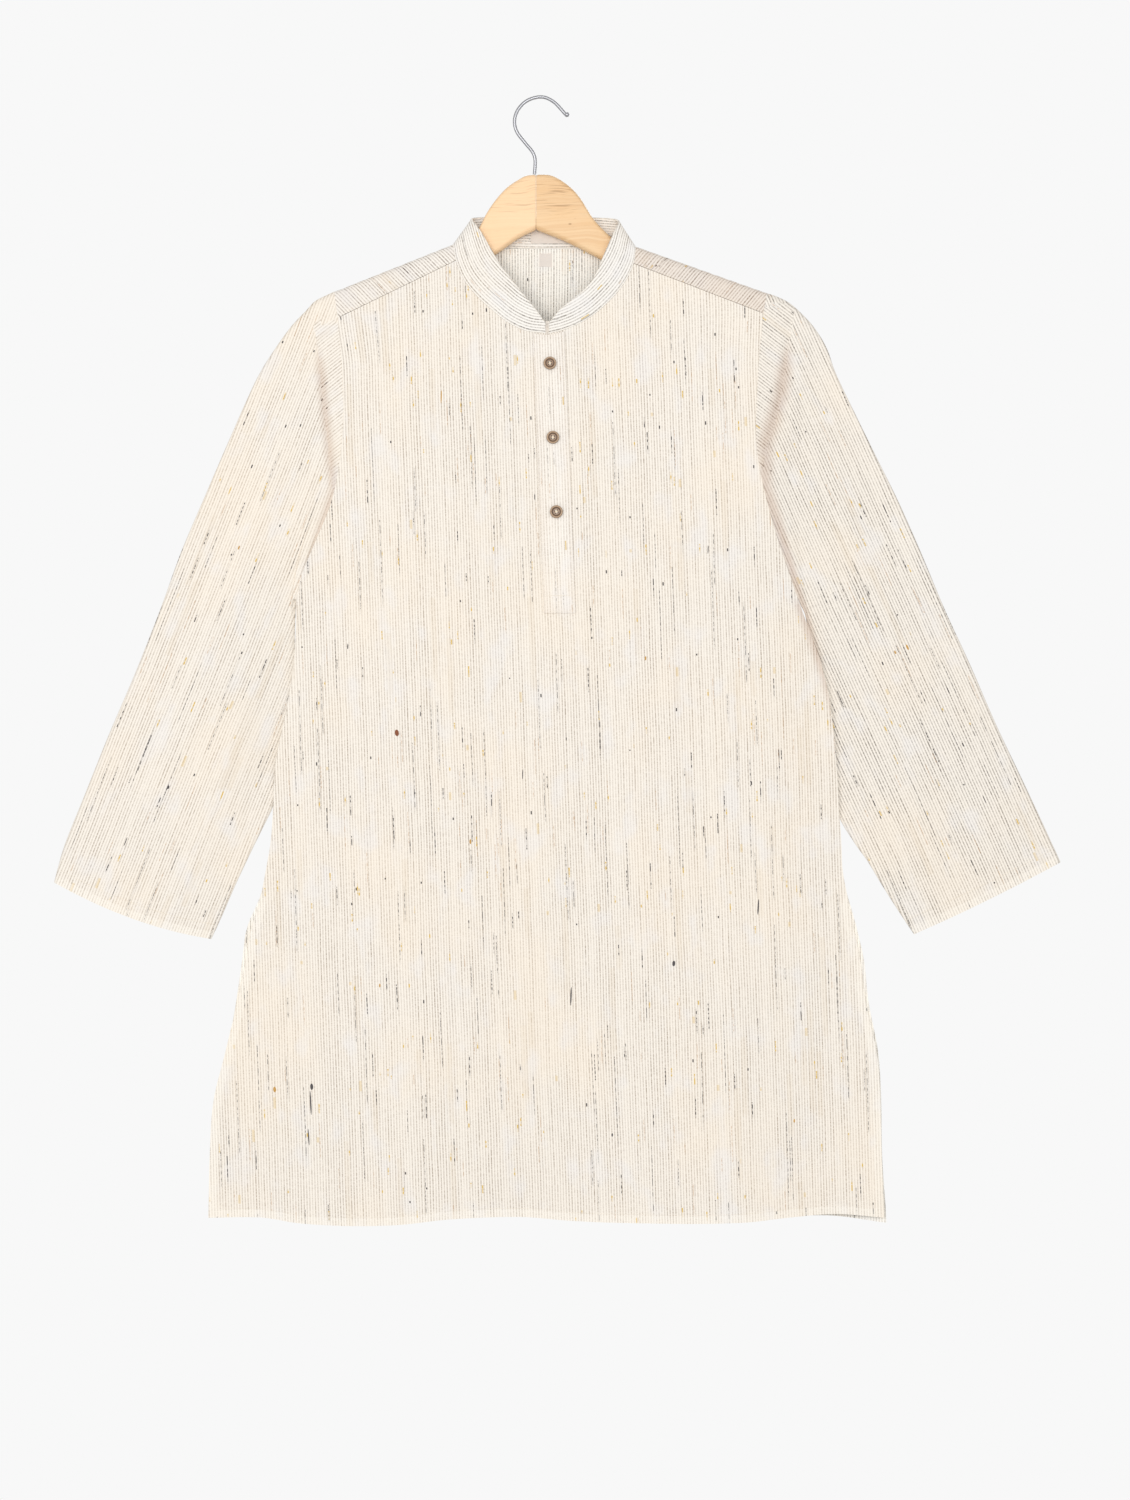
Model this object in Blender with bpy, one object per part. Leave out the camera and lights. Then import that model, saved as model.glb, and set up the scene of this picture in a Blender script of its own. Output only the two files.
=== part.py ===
"""A long-sleeved kurta tunic on a wooden hanger, built from its sewn pieces.

Metres, +Z up, -Y towards the viewer. The origin is the inside of the hook's crown, where a rail
carries the hanger. +X is to the viewer's right, so the wearer's right sleeve lies on the -X side.
Each panel is cut as a flat outline and lifted onto the shape that it takes on the hanger.
"""

import math

import bmesh
import bpy
import numpy as np
from mathutils import Vector
from mathutils.geometry import delaunay_2d_cdt

# Cloth walls and the gaps between pieces
CLOTH = 0.0015
COLLAR_WALL = 0.0022
STRIP_WALL = 0.0012
LABEL_WALL = 0.0006
SEAM_GAP = 0.0005
COLLAR_GAP = 0.0009
LAYER_GAP = 0.0004
UNDER_GAP = 0.0009
SIDE_SEAM_HALF = CLOTH / 2 + 0.00015

# Mesh steps
GRID = 0.031
EDGE_STEP = 0.026
FOLD_STEP = 0.024
FOLD_ANGLES = (0, 30, 60, 90)

# The body, seen from the front
CENTRE_X = 0.003
HEM_Z = -1.117
ARMPIT_Z = -0.501
SLIT_TOP_Z = -0.791
SLIT_PARTING = 0.0020
FOLD_RADIUS = 0.0080
FRONT_DEPTH = 0.021
BACK_DEPTH = 0.016
LENS_POWER = 2.5

# Side edges of the front: z, left x, right x
SIDE_EDGES = (
    (-0.501, -0.2436, 0.2560),
    (-0.533, -0.2440, 0.2675),
    (-0.565, -0.2465, 0.2788),
    (-0.604, -0.2520, 0.2875),
    (-0.663, -0.2640, 0.2940),
    (-0.706, -0.2665, 0.2965),
    (-0.741, -0.2690, 0.2990),
    (-0.771, -0.2740, 0.3005),
    (-0.801, -0.2800, 0.3060),
    (-0.831, -0.2890, 0.3120),
    (-0.861, -0.2940, 0.3180),
    (-0.901, -0.3020, 0.3230),
    (-0.951, -0.3140, 0.3340),
    (-1.001, -0.3260, 0.3380),
    (-1.051, -0.3295, 0.3390),
    (-1.117, -0.3310, 0.3420),
)
# How far the back's slit edges stand beyond the front's: z, left, right
BACK_SLIT_OVERHANG = (
    (-0.791, 0.0000, 0.0000),
    (-0.825, 0.0045, 0.0030),
    (-0.870, 0.0035, 0.0040),
    (-0.950, -0.0010, 0.0020),
    (-1.050, -0.0020, 0.0010),
    (-1.117, -0.0015, 0.0025),
)
# The hem's lower edge: x, front z, back z
HEM = (
    (-0.331, -1.1165, -1.1150),
    (-0.279, -1.1165, -1.1155),
    (-0.241, -1.1220, -1.1170),
    (-0.191, -1.1240, -1.1190),
    (-0.141, -1.1225, -1.1195),
    (-0.091, -1.1175, -1.1180),
    (-0.021, -1.1160, -1.1165),
    (0.029, -1.1200, -1.1170),
    (0.079, -1.1215, -1.1180),
    (0.199, -1.1205, -1.1180),
    (0.249, -1.1160, -1.1170),
    (0.295, -1.1130, -1.1165),
    (0.342, -1.1165, -1.1220),
)
# Half-width of the body's cross-section above the armpit, where it runs on past the armhole: z, x
LENS_WIDTH = (
    (-0.120, 0.5600),
    (-0.223, 0.4600),
    (-0.318, 0.3600),
    (-0.400, 0.3000),
    (-0.460, 0.2640),
    (-0.501, 0.24980),
)
# Share of the full depth down the body: z, share
BODY_FULLNESS = (
    (-0.146, 0.45),
    (-0.300, 0.80),
    (-0.450, 1.00),
    (-0.700, 0.95),
    (-0.900, 0.80),
    (-1.124, 0.72),
)

# Top of each shoulder, where the back folds over to the front: neck x, neck z, arm x, arm z
SHOULDER_FOLD = {
    -1: (-0.0860, -0.1450, -0.2060, -0.1940),
    1: (0.0920, -0.1470, 0.2250, -0.1955),
}
# The shoulder seam, which lies in front of that fold: neck x, neck z, arm x, arm z
SHOULDER_SEAM = {
    -1: (-0.0850, -0.1630, -0.2020, -0.2210),
    1: (0.0925, -0.1660, 0.2210, -0.2165),
}
# The armhole seam from the shoulder seam down to the armpit: x, z
ARMHOLE = {
    -1: (
        (-0.2020, -0.2210),
        (-0.1970, -0.2790),
        (-0.1960, -0.3180),
        (-0.2000, -0.3660),
        (-0.2080, -0.4040),
        (-0.2230, -0.4410),
        (-0.2375, -0.4760),
        (-0.2436, -0.5010),
    ),
    1: (
        (0.2210, -0.2165),
        (0.2150, -0.2850),
        (0.2140, -0.3460),
        (0.2200, -0.3850),
        (0.2340, -0.4370),
        (0.2490, -0.4810),
        (0.2560, -0.5010),
    ),
}
# The sleeve's rings after the armhole: outer fold x, z, inner fold x, z, how far the inner fold
# lies towards the back, half depth, and how much of the armhole's own form the ring keeps
SLEEVE_RINGS = {
    -1: (
        (-0.2130, -0.1980, -0.2486, -0.5060, 0.0018, 0.0125, 0.92),
        (-0.2245, -0.2040, -0.2488, -0.5170, 0.0040, 0.0120, 0.78),
        (-0.2340, -0.2140, -0.2480, -0.5330, 0.0065, 0.0115, 0.60),
        (-0.2480, -0.2290, -0.2468, -0.5530, 0.0085, 0.0110, 0.42),
        (-0.2625, -0.2490, -0.2460, -0.5740, 0.0090, 0.0100, 0.28),
        (-0.2795, -0.2760, -0.2480, -0.5920, 0.0090, 0.0095, 0.16),
        (-0.2960, -0.3110, -0.2505, -0.6110, 0.0090, 0.0090, 0.08),
        (-0.3155, -0.3560, -0.2550, -0.6340, 0.0090, 0.0085, 0.03),
        (-0.3370, -0.4060, -0.2600, -0.6590, 0.0085, 0.0080, 0.00),
        (-0.3580, -0.4560, -0.2635, -0.6830, 0.0070, 0.0080, 0.00),
        (-0.3790, -0.5140, -0.2665, -0.7040, 0.0045, 0.0080, 0.00),
        (-0.4035, -0.5760, -0.2790, -0.7310, 0.0020, 0.0080, 0.00),
        (-0.4290, -0.6360, -0.2920, -0.7580, 0.0005, 0.0080, 0.00),
        (-0.4530, -0.6960, -0.3050, -0.7860, 0.0000, 0.0075, 0.00),
        (-0.4730, -0.7460, -0.3180, -0.8160, 0.0000, 0.0070, 0.00),
        (-0.4830, -0.7825, -0.3290, -0.8390, 0.0000, 0.0065, 0.00),
    ),
    1: (
        (0.2355, -0.2000, 0.2592, -0.5060, 0.0018, 0.0125, 0.92),
        (0.2470, -0.2060, 0.2640, -0.5160, 0.0045, 0.0120, 0.78),
        (0.2585, -0.2160, 0.2675, -0.5330, 0.0075, 0.0115, 0.60),
        (0.2720, -0.2310, 0.2735, -0.5530, 0.0085, 0.0110, 0.42),
        (0.2840, -0.2510, 0.2780, -0.5740, 0.0090, 0.0100, 0.28),
        (0.2930, -0.2760, 0.2825, -0.5940, 0.0090, 0.0095, 0.16),
        (0.3095, -0.3110, 0.2860, -0.6160, 0.0090, 0.0090, 0.08),
        (0.3315, -0.3560, 0.2890, -0.6420, 0.0090, 0.0085, 0.03),
        (0.3560, -0.4060, 0.2915, -0.6680, 0.0085, 0.0080, 0.00),
        (0.3780, -0.4560, 0.2938, -0.6940, 0.0070, 0.0080, 0.00),
        (0.4000, -0.5090, 0.2980, -0.7180, 0.0050, 0.0080, 0.00),
        (0.4260, -0.5660, 0.3120, -0.7420, 0.0020, 0.0080, 0.00),
        (0.4520, -0.6260, 0.3260, -0.7620, 0.0005, 0.0080, 0.00),
        (0.4780, -0.6810, 0.3380, -0.7820, 0.0000, 0.0075, 0.00),
        (0.4990, -0.7260, 0.3550, -0.8090, 0.0000, 0.0070, 0.00),
        (0.5155, -0.7625, 0.3720, -0.8340, 0.0000, 0.0065, 0.00),
    ),
}
CAP_FOLD_RADIUS = 0.0045
UNDERARM_RADIUS = 0.0020
ARMPIT_SPACE = {-1: 0.0034, 1: 0.0011}
CUFF_BOW = {-1: 0.0075, 1: 0.0015}

# The collar band: neck edge x, z, top edge x, z, the side of the shoulder it lies on, the top edge's y
COLLAR = (
    (0.0045, -0.2362, 0.0045, -0.2255, "front", -0.0140),
    (-0.0150, -0.2335, -0.0060, -0.2105, "front", -0.0135),
    (-0.0330, -0.2250, -0.0180, -0.1960, "front", -0.0130),
    (-0.0495, -0.2120, -0.0285, -0.1825, "front", -0.0125),
    (-0.0640, -0.1985, -0.0400, -0.1680, "front", -0.0118),
    (-0.0770, -0.1820, -0.0500, -0.1510, "front", -0.0112),
    (-0.0850, -0.1630, -0.0590, -0.1355, "front", -0.0104),
    (-0.0868, -0.1520, -0.0655, -0.1260, "front", -0.0070),
    (-0.0865, -0.1462, -0.0685, -0.1205, "crown", 0.0000),
    (-0.0800, -0.1470, -0.0650, -0.1175, "back", 0.0080),
    (-0.0600, -0.1480, -0.0510, -0.1165, "back", 0.0104),
    (-0.0300, -0.1485, -0.0260, -0.1165, "back", 0.0108),
    (0.0030, -0.1488, 0.0030, -0.1165, "back", 0.0110),
    (0.0360, -0.1488, 0.0310, -0.1165, "back", 0.0108),
    (0.0660, -0.1488, 0.0560, -0.1172, "back", 0.0104),
    (0.0860, -0.1488, 0.0715, -0.1185, "back", 0.0080),
    (0.0930, -0.1482, 0.0770, -0.1225, "crown", 0.0000),
    (0.0940, -0.1545, 0.0745, -0.1310, "front", -0.0070),
    (0.0925, -0.1660, 0.0690, -0.1430, "front", -0.0104),
    (0.0860, -0.1810, 0.0620, -0.1590, "front", -0.0112),
    (0.0745, -0.1970, 0.0555, -0.1750, "front", -0.0118),
    (0.0565, -0.2145, 0.0440, -0.1915, "front", -0.0125),
    (0.0380, -0.2265, 0.0300, -0.2030, "front", -0.0130),
    (0.0220, -0.2330, 0.0180, -0.2130, "front", -0.0135),
    (0.0080, -0.2364, 0.0080, -0.2255, "front", -0.0140),
)
COLLAR_ROWS = 4
COLLAR_STEPS = 2
CROWN_STEPS = 4

# The placket, the slit under it and the three buttons
PLACKET_TOP = (0.0075, -0.2375)
PLACKET_FOOT = (0.0190, -0.5150)
PLACKET_WIDTH = 0.0315
PLACKET_TOP_EDGE = (
    (-0.0082, -0.2362),
    (-0.0010, -0.2374),
    (0.0070, -0.2380),
    (0.0150, -0.2368),
    (0.0232, -0.2342),
)
UNDER_WIDTH = 0.0270
UNDER_TOP_Z = -0.2420
UNDER_FOOT_Z = -0.5080
TAB_WIDTH = 0.0050
TAB_TOP_Z = -0.2235
NECK_SLIT = ((0.0045, -0.2362), (0.0170, -0.4950), (0.0190, -0.4950), (0.0080, -0.2364))
BUTTON_PLACES = ((0.0090, -0.2665), (0.0120, -0.3405), (0.0155, -0.4145))
BUTTON_SIDES = 20
# The button's turned face: radius, height above its back
BUTTON_FACE = (
    (0.00635, 0.0018),
    (0.0060, 0.0028),
    (0.0052, 0.0030),
    (0.0043, 0.0024),
    (0.0034, 0.0020),
)
BUTTON_HOLE_RADIUS = 0.0007
BUTTON_HOLE_OUT = 0.0012
BUTTON_GAP = 0.0004

# The labels: centre x, z, width, height
NECK_LABEL = (0.0180, -0.1335, 0.0560, 0.0200)
SIZE_LABEL = (0.0045, -0.1600, 0.0125, 0.0130)

# The hanger: each half's upper and lower outline where it shows, x, z
BOARD_THICK = 0.0114
BOARD_ROUND = 0.0052
BOARD_JOINT_X = -0.0050
BOARD_JOINT_GAP = 0.0003
BOARD_TOP = {
    -1: (
        (-0.0050, -0.0758),
        (-0.0153, -0.0772),
        (-0.0242, -0.0820),
        (-0.0331, -0.0882),
        (-0.0403, -0.0953),
        (-0.0474, -0.1042),
        (-0.0546, -0.1152),
        (-0.0606, -0.1270),
        (-0.0670, -0.1370),
        (-0.0770, -0.1448),
        (-0.0900, -0.1500),
    ),
    1: (
        (-0.0050, -0.0758),
        (0.0095, -0.0765),
        (0.0204, -0.0818),
        (0.0310, -0.0900),
        (0.0400, -0.1006),
        (0.0508, -0.1180),
        (0.0600, -0.1290),
        (0.0700, -0.1385),
        (0.0820, -0.1468),
        (0.0960, -0.1518),
    ),
}
BOARD_FOOT = {
    -1: ((-0.0050, -0.1308), (-0.0230, -0.1400), (-0.0474, -0.1570), (-0.0900, -0.1780)),
    1: ((-0.0050, -0.1308), (0.0250, -0.1430), (0.0606, -0.1614), (0.0960, -0.1800)),
}
ARM_END_X = {-1: -0.1960, 1: 0.2150}
ARM_DEPTH = 0.0270
ARM_SEAT_GAP = 0.0022

# The hook's bent wire: x, z from its foot on the wood to its round tip
WIRE_RADIUS = 0.00175
HOOK_LINE = (
    (-0.0064, -0.0752),
    (-0.0058, -0.0610),
    (-0.0081, -0.0535),
    (-0.0153, -0.0445),
    (-0.0242, -0.0325),
    (-0.0264, -0.0216),
    (-0.0233, -0.0113),
    (-0.0153, -0.0026),
    (-0.0046, 0.0016),
    (0.0044, 0.0014),
    (0.0133, -0.0033),
    (0.0204, -0.0105),
    (0.0245, -0.0150),
    (0.0284, -0.0162),
)
HOOK_STEPS = 38
HOOK_SIDES = 10
HOOK_BALL_RADIUS = 0.0025

# How it all hangs in depth: the arms sweep forward, and the skirt falls in flutes
ARM_SWEEP = 0.055
SWEEP_SOFTNESS = 0.035
SWEEP_EASE = 0.25
# Each flute: x at the hem, x at its top, half width, depth, z where it starts
FLUTES = (
    (-0.265, -0.215, 0.050, 0.0045, -0.620),
    (-0.130, -0.110, 0.062, -0.0050, -0.700),
    (0.020, 0.015, 0.070, 0.0040, -0.800),
    (0.165, 0.130, 0.058, -0.0050, -0.660),
    (0.280, 0.225, 0.048, 0.0050, -0.600),
)

# Colour, roughness and metal share of each material
LOOKS = {
    "cloth": ((0.86, 0.79, 0.70), 0.9, 0.0),
    "placket": ((0.88, 0.82, 0.74), 0.9, 0.0),
    "label": ((0.90, 0.87, 0.82), 0.9, 0.0),
    "button": ((0.20, 0.12, 0.07), 0.45, 0.0),
    "wood": ((0.87, 0.60, 0.33), 0.5, 0.0),
    "steel": ((0.62, 0.63, 0.65), 0.22, 1.0),
}


def smooth(low, high, value):
    """0 below low, 1 above high and a soft step between."""
    share = min(1.0, max(0.0, (value - low) / (high - low)))
    return share * share * (3 - 2 * share)


def from_table(rows, key, column):
    """A column's value at key, on a smooth curve through the rows, whose keys run one way."""
    turn = -1 if rows[0][0] > rows[-1][0] else 1
    keys = [row[0] * turn for row in rows]
    values = [row[column] for row in rows]
    key = min(keys[-1], max(keys[0], key * turn))
    i = 0
    while i < len(keys) - 2 and key > keys[i + 1]:
        i += 1

    def slope(j):
        low, high = max(0, j - 1), min(len(keys) - 1, j + 1)
        return (values[high] - values[low]) / (keys[high] - keys[low])

    span = keys[i + 1] - keys[i]
    t = (key - keys[i]) / span
    return (
        (2 * t**3 - 3 * t**2 + 1) * values[i]
        + (t**3 - 2 * t**2 + t) * span * slope(i)
        + (3 * t**2 - 2 * t**3) * values[i + 1]
        + (t**3 - t**2) * span * slope(i + 1)
    )


def curve_through(points, count):
    """count points evenly spaced along a smooth curve through the given ones."""
    points = np.array(points, float)
    along = np.concatenate([[0.0], np.cumsum(np.linalg.norm(np.diff(points, axis=0), axis=1))])
    rows = [(s, *p) for s, p in zip(along, points)]
    columns = range(1, points.shape[1] + 1)
    return [tuple(from_table(rows, s, c) for c in columns) for s in np.linspace(0, along[-1], count)]


class Fold:
    """The rounded top of one shoulder, where the back panel turns over to the front."""

    def __init__(self, side):
        neck_x, neck_z, arm_x, arm_z = SHOULDER_FOLD[side]
        self.origin = np.array((neck_x, neck_z))
        towards_neck = np.array((neck_x - arm_x, neck_z - arm_z))
        self.along = towards_neck / np.linalg.norm(towards_neck)
        self.up = np.array((-self.along[1], self.along[0])) * math.copysign(1, self.along[0])
        self.length = float(np.linalg.norm(towards_neck))
        self.turn_start = -(CLOTH / 2 + FOLD_RADIUS)
        self.turn_end = self.turn_start + math.pi * FOLD_RADIUS

    def across(self, x, z):
        """Distance above the fold's outline, negative below it."""
        return float((np.array((x, z)) - self.origin) @ self.up)

    def down(self, x, z):
        """Distance along the fold from its neck end, negative towards the arm."""
        return float((np.array((x, z)) - self.origin) @ self.along)

    def place(self, a, d):
        return self.origin + a * self.along + d * self.up

    def outline_z(self, x):
        """Height of the fold's outline over x."""
        return self.origin[1] + (x - self.origin[0]) * self.along[1] / self.along[0]

    def turned(self, level):
        """Angle from the back round to the crown at a level inside the turn."""
        return math.asin(min(1.0, (level - self.turn_start) / FOLD_RADIUS))

    def flat_from_front(self, x, z):
        """Where a point seen on the front, above the shoulder seam, lies on the flat back piece."""
        level = self.across(x, z)
        if level < self.turn_start:
            return self.place(self.down(x, z), self.turn_end + self.turn_start - level)
        return self.place(self.down(x, z), self.turn_start + FOLD_RADIUS * (math.pi - self.turned(level)))

    def flat_from_back(self, x, z):
        """Where a point seen on the back lies on the flat back piece."""
        level = self.across(x, z)
        if level < self.turn_start:
            return np.array((x, z))
        return self.place(self.down(x, z), self.turn_start + FOLD_RADIUS * self.turned(level))


FOLDS = {side: Fold(side) for side in (-1, 1)}


def side_of(x):
    return -1 if x < CENTRE_X else 1


def below_fold(x, z):
    """Depth of a point below the shoulders' mid-surface; the two sides blend over the neck."""
    share = smooth(-0.04, 0.04, x - CENTRE_X)
    return -((1 - share) * FOLDS[-1].across(x, z) + share * FOLDS[1].across(x, z)) - CLOTH / 2


def lens(x, z):
    """1 at the body's middle and 0 at its side seams."""
    if z > ARMPIT_Z:
        half = from_table(LENS_WIDTH, z, 1)
        middle = (SIDE_EDGES[0][1] + SIDE_EDGES[0][2]) / 2
    else:
        left, right = from_table(SIDE_EDGES, z, 1), from_table(SIDE_EDGES, z, 2)
        half, middle = (right - left) / 2, (right + left) / 2
    return 1 - min(1.0, abs(x - middle) / half) ** LENS_POWER


def half_depth(x, z, full):
    """Distance of the front or the back from the garment's middle surface."""
    below = max(0.0, below_fold(x, z))
    edge = SIDE_SEAM_HALF + SLIT_PARTING * smooth(-SLIT_TOP_Z, -HEM_Z, -z)
    depth = edge + (full * from_table(BODY_FULLNESS, z, 1) - edge) * lens(x, z)
    depth = FOLD_RADIUS + (depth - FOLD_RADIUS) * smooth(FOLD_RADIUS, 0.150, below)
    if below < FOLD_RADIUS:
        depth *= math.sqrt(1 - (1 - below / FOLD_RADIUS) ** 2)
    return depth


def front_depth(x, z):
    return half_depth(x, z, FRONT_DEPTH)


def back_depth(x, z):
    return half_depth(x, z, BACK_DEPTH)


def hang(x, z):
    """How far back the whole garment lies at a point of the front view."""
    sweep = -ARM_SWEEP * (math.hypot(x, SWEEP_SOFTNESS) - SWEEP_SOFTNESS)
    sweep *= 1 - SWEEP_EASE * smooth(0.25, 1.00, -z)
    flutes = 0.0
    for hem_x, top_x, width, depth, start in FLUTES:
        down = smooth(-start, -HEM_Z, -z)
        middle = top_x + (hem_x - top_x) * down
        flutes += depth * down * math.exp(-(((x - middle) / width) ** 2))
    return sweep + flutes


def hung(x, y, z):
    return np.array((x, y + hang(x, z), z))


def lift_front(p):
    return hung(p[0], -front_depth(p[0], p[1]), p[1])


def lift_back(p):
    """Lifts a point of the flat back piece: up the back, over the shoulder and down the front."""
    fold = FOLDS[side_of(p[0])]
    d = fold.across(*p)
    if d <= fold.turn_start:
        return hung(p[0], back_depth(*p), p[1])
    if d >= fold.turn_end:
        x, z = fold.place(fold.down(*p), fold.turn_start - (d - fold.turn_end))
        return hung(x, -front_depth(x, z), z)
    turned = (d - fold.turn_start) / FOLD_RADIUS
    x, z = fold.place(fold.down(*p), fold.turn_start + FOLD_RADIUS * math.sin(turned))
    return hung(x, FOLD_RADIUS * math.cos(turned), z)


def lift_collar_back(p):
    """Lifts a point of the front view onto the collar's band behind the neck."""
    seam_z, top_z, top_y = COLLAR[12][1], COLLAR[12][3], COLLAR[12][5]
    share = (p[1] - seam_z) / (top_z - seam_z)
    seam_y = back_depth(p[0], seam_z)
    return hung(p[0], seam_y + (top_y - seam_y) * share, p[1])


def normal_of(lift, p, step=0.0004):
    """Unit normal of a lifted flat piece; it points to -Y where the piece isn't folded over."""
    across = lift((p[0] + step, p[1])) - lift((p[0] - step, p[1]))
    up = lift((p[0], p[1] + step)) - lift((p[0], p[1] - step))
    n = np.cross(across, up)
    return n / np.linalg.norm(n)


def normals_of_mesh(points, faces):
    """Unit normal at each point, the mean of its faces' normals by area."""
    normals = np.zeros((len(points), 3))
    for face in faces:
        corners = [np.array(points[i]) for i in face]
        area = sum(np.cross(b - corners[0], c - corners[0]) for b, c in zip(corners[1:], corners[2:]))
        for i in face:
            normals[i] += area
    return normals / np.linalg.norm(normals, axis=1)[:, None]


def material(name):
    found = bpy.data.materials.get(name)
    if found:
        return found
    colour, roughness, metal = LOOKS[name]
    made = bpy.data.materials.new(name)
    made.use_nodes = True
    shader = made.node_tree.nodes["Principled BSDF"]
    shader.inputs["Base Color"].default_value = (*colour, 1)
    shader.inputs["Roughness"].default_value = roughness
    shader.inputs["Metallic"].default_value = metal
    made.diffuse_color = (*colour, 1)
    return made


def add_object(name, bm, look, sharp_angle=50):
    """Makes a named object of a bmesh, with its faces out and its round parts smooth."""
    bmesh.ops.recalc_face_normals(bm, faces=bm.faces)
    mesh = bpy.data.meshes.new(name)
    bm.to_mesh(mesh)
    bm.free()
    mesh.shade_smooth()
    mesh.set_sharp_from_angle(angle=math.radians(sharp_angle))
    mesh.materials.append(material(look))
    made = bpy.data.objects.new(name, mesh)
    bpy.context.scene.collection.objects.link(made)
    return made


def add_body(name, outer, inner, faces, look):
    """A closed body between two copies of the same faces, joined round every open edge."""
    bm = bmesh.new()
    outer = [bm.verts.new(p) for p in outer]
    inner = [bm.verts.new(p) for p in inner]
    edges = set()
    for face in faces:
        bm.faces.new([outer[i] for i in face])
        bm.faces.new([inner[i] for i in reversed(face)])
        edges.update(zip(face, (*face[1:], face[0])))
    for a, b in sorted(edges):
        if (b, a) not in edges:
            bm.faces.new((outer[b], outer[a], inner[a], inner[b]))
    return add_object(name, bm, look)


def add_wall(name, points, faces, normals, thick, look):
    """A cloth wall: the faces moved half its thickness each way along the normals."""
    outer = [p + n * thick / 2 for p, n in zip(points, normals)]
    inner = [p - n * thick / 2 for p, n in zip(points, normals)]
    return add_body(name, outer, inner, faces, look)


def inside(outline, p):
    """True if p lies inside a closed outline."""
    x, z = p
    found = False
    for (ax, az), (bx, bz) in zip(outline, (*outline[1:], outline[0])):
        if (az > z) != (bz > z) and x < (bx - ax) * (z - az) / (bz - az) + ax:
            found = not found
    return found


def clear_of(points, p, distance):
    return all(math.hypot(q[0] - p[0], q[1] - p[1]) > distance for q in points)


def grid_points(outline, step, keep_clear):
    """Staggered points inside an outline, clear of its own points and of the ones given."""
    xs, zs = [p[0] for p in outline], [p[1] for p in outline]
    rows = int((max(zs) - min(zs)) / (step * 0.866)) + 1
    columns = int((max(xs) - min(xs)) / step) + 2
    found = []
    for row in range(rows):
        z = max(zs) - (row + 0.5) * step * 0.866
        for column in range(columns):
            p = (min(xs) + (column + 0.5 * (row % 2)) * step, z)
            if inside(outline, p) and clear_of(keep_clear, p, step * 0.52):
                found.append(p)
    return found


def flat_mesh(outline, extra, holes=()):
    """Triangulates an outline and the points inside it, less its holes."""
    points = [Vector(p) for p in outline]
    edges = [(i, (i + 1) % len(outline)) for i in range(len(outline))]
    for hole in holes:
        first = len(points)
        points += [Vector(p) for p in hole]
        edges += [(first + i, first + (i + 1) % len(hole)) for i in range(len(hole))]
    points += [Vector(p) for p in extra]
    made = delaunay_2d_cdt(points, edges, [], 1, 1e-7)
    flat = [tuple(v) for v in made[0]]
    faces = []
    for face in made[2]:
        middle = tuple(sum(flat[i][k] for i in face) / len(face) for k in (0, 1))
        if not any(inside(hole, middle) for hole in holes):
            faces.append(tuple(face))
    return flat, faces


def add_panel(name, outline, extra, lift, thick, look, out=0.0):
    """A sewn piece: a flat outline filled, lifted to its hanging shape, moved out and made a wall."""
    flat, faces = flat_mesh(outline, extra)
    normals = [normal_of(lift, p) for p in flat]
    points = [lift(p) + n * out for p, n in zip(flat, normals)]
    return add_wall(name, points, faces, normals, thick, look)


def spread(a, b, step=EDGE_STEP):
    """Points from a to b about a step apart, without b."""
    a, b = np.array(a, float), np.array(b, float)
    count = max(1, round(float(np.linalg.norm(b - a)) / step))
    return [tuple(a + (b - a) * i / count) for i in range(count)]


def armhole_seam(side):
    """The armhole seam from the shoulder's crown to the armpit, and which point ends the shoulder seam."""
    fold = FOLDS[side]
    corner = np.array(ARMHOLE[side][0])
    crown = np.array(SHOULDER_FOLD[side][2:]) - fold.up * CLOTH / 2
    reach = float((crown - corner) @ fold.up)
    drops = [FOLD_RADIUS * (1 - math.cos(math.radians(angle))) for angle in FOLD_ANGLES]
    drops.append((FOLD_RADIUS + reach) / 2)
    top = [tuple(crown + (corner - crown) * drop / reach) for drop in drops]
    below = curve_through(ARMHOLE[side], 13)
    end, before = np.array(below[-1]), np.array(below[-2])
    near = [tuple(end + (before - end) * share) for share in (0.45, 0.18)]
    return [*top, *below[:-1], *near, below[-1]], len(top)


def side_edge(side, back=False):
    """Side seam and slit edge from the armpit to the hem."""
    column = 1 if side < 0 else 2
    seam = np.linspace(ARMPIT_Z, SLIT_TOP_Z, 13)
    made = [(from_table(SIDE_EDGES, z, column), float(z)) for z in seam]
    for z in np.linspace(SLIT_TOP_Z, HEM_Z + 0.012, 13)[1:]:
        more = from_table(BACK_SLIT_OVERHANG, z, column) if back else 0.0
        made.append((from_table(SIDE_EDGES, z, column) + side * more, float(z)))
    return made


def hem_edge(back=False):
    """The hem from left to right."""
    left = HEM[0][0] - (BACK_SLIT_OVERHANG[-1][1] if back else 0.0)
    right = HEM[-1][0] + (BACK_SLIT_OVERHANG[-1][2] if back else 0.0)
    return [(float(x), from_table(HEM, x, 2 if back else 1)) for x in np.linspace(left, right, 27)]


def collar_stations():
    """The collar's rows and more between them: neck x, z, top x, z, top y, side."""
    rows = [(float(i), row[0], row[1], row[2], row[3], row[5]) for i, row in enumerate(COLLAR)]
    places = []
    for i in range(len(COLLAR) - 1):
        steps = CROWN_STEPS if "crown" in (COLLAR[i][4], COLLAR[i + 1][4]) else COLLAR_STEPS
        places += [i + j / steps for j in range(steps)]
    made = []
    for at in (*places, len(COLLAR) - 1):
        sides = {COLLAR[math.floor(at)][4], COLLAR[math.ceil(at)][4]}
        side = next(iter(sides)) if len(sides) == 1 else next(iter(sides - {"crown"}))
        made.append((*(from_table(rows, at, c) for c in range(1, 6)), side))
    return made


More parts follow.
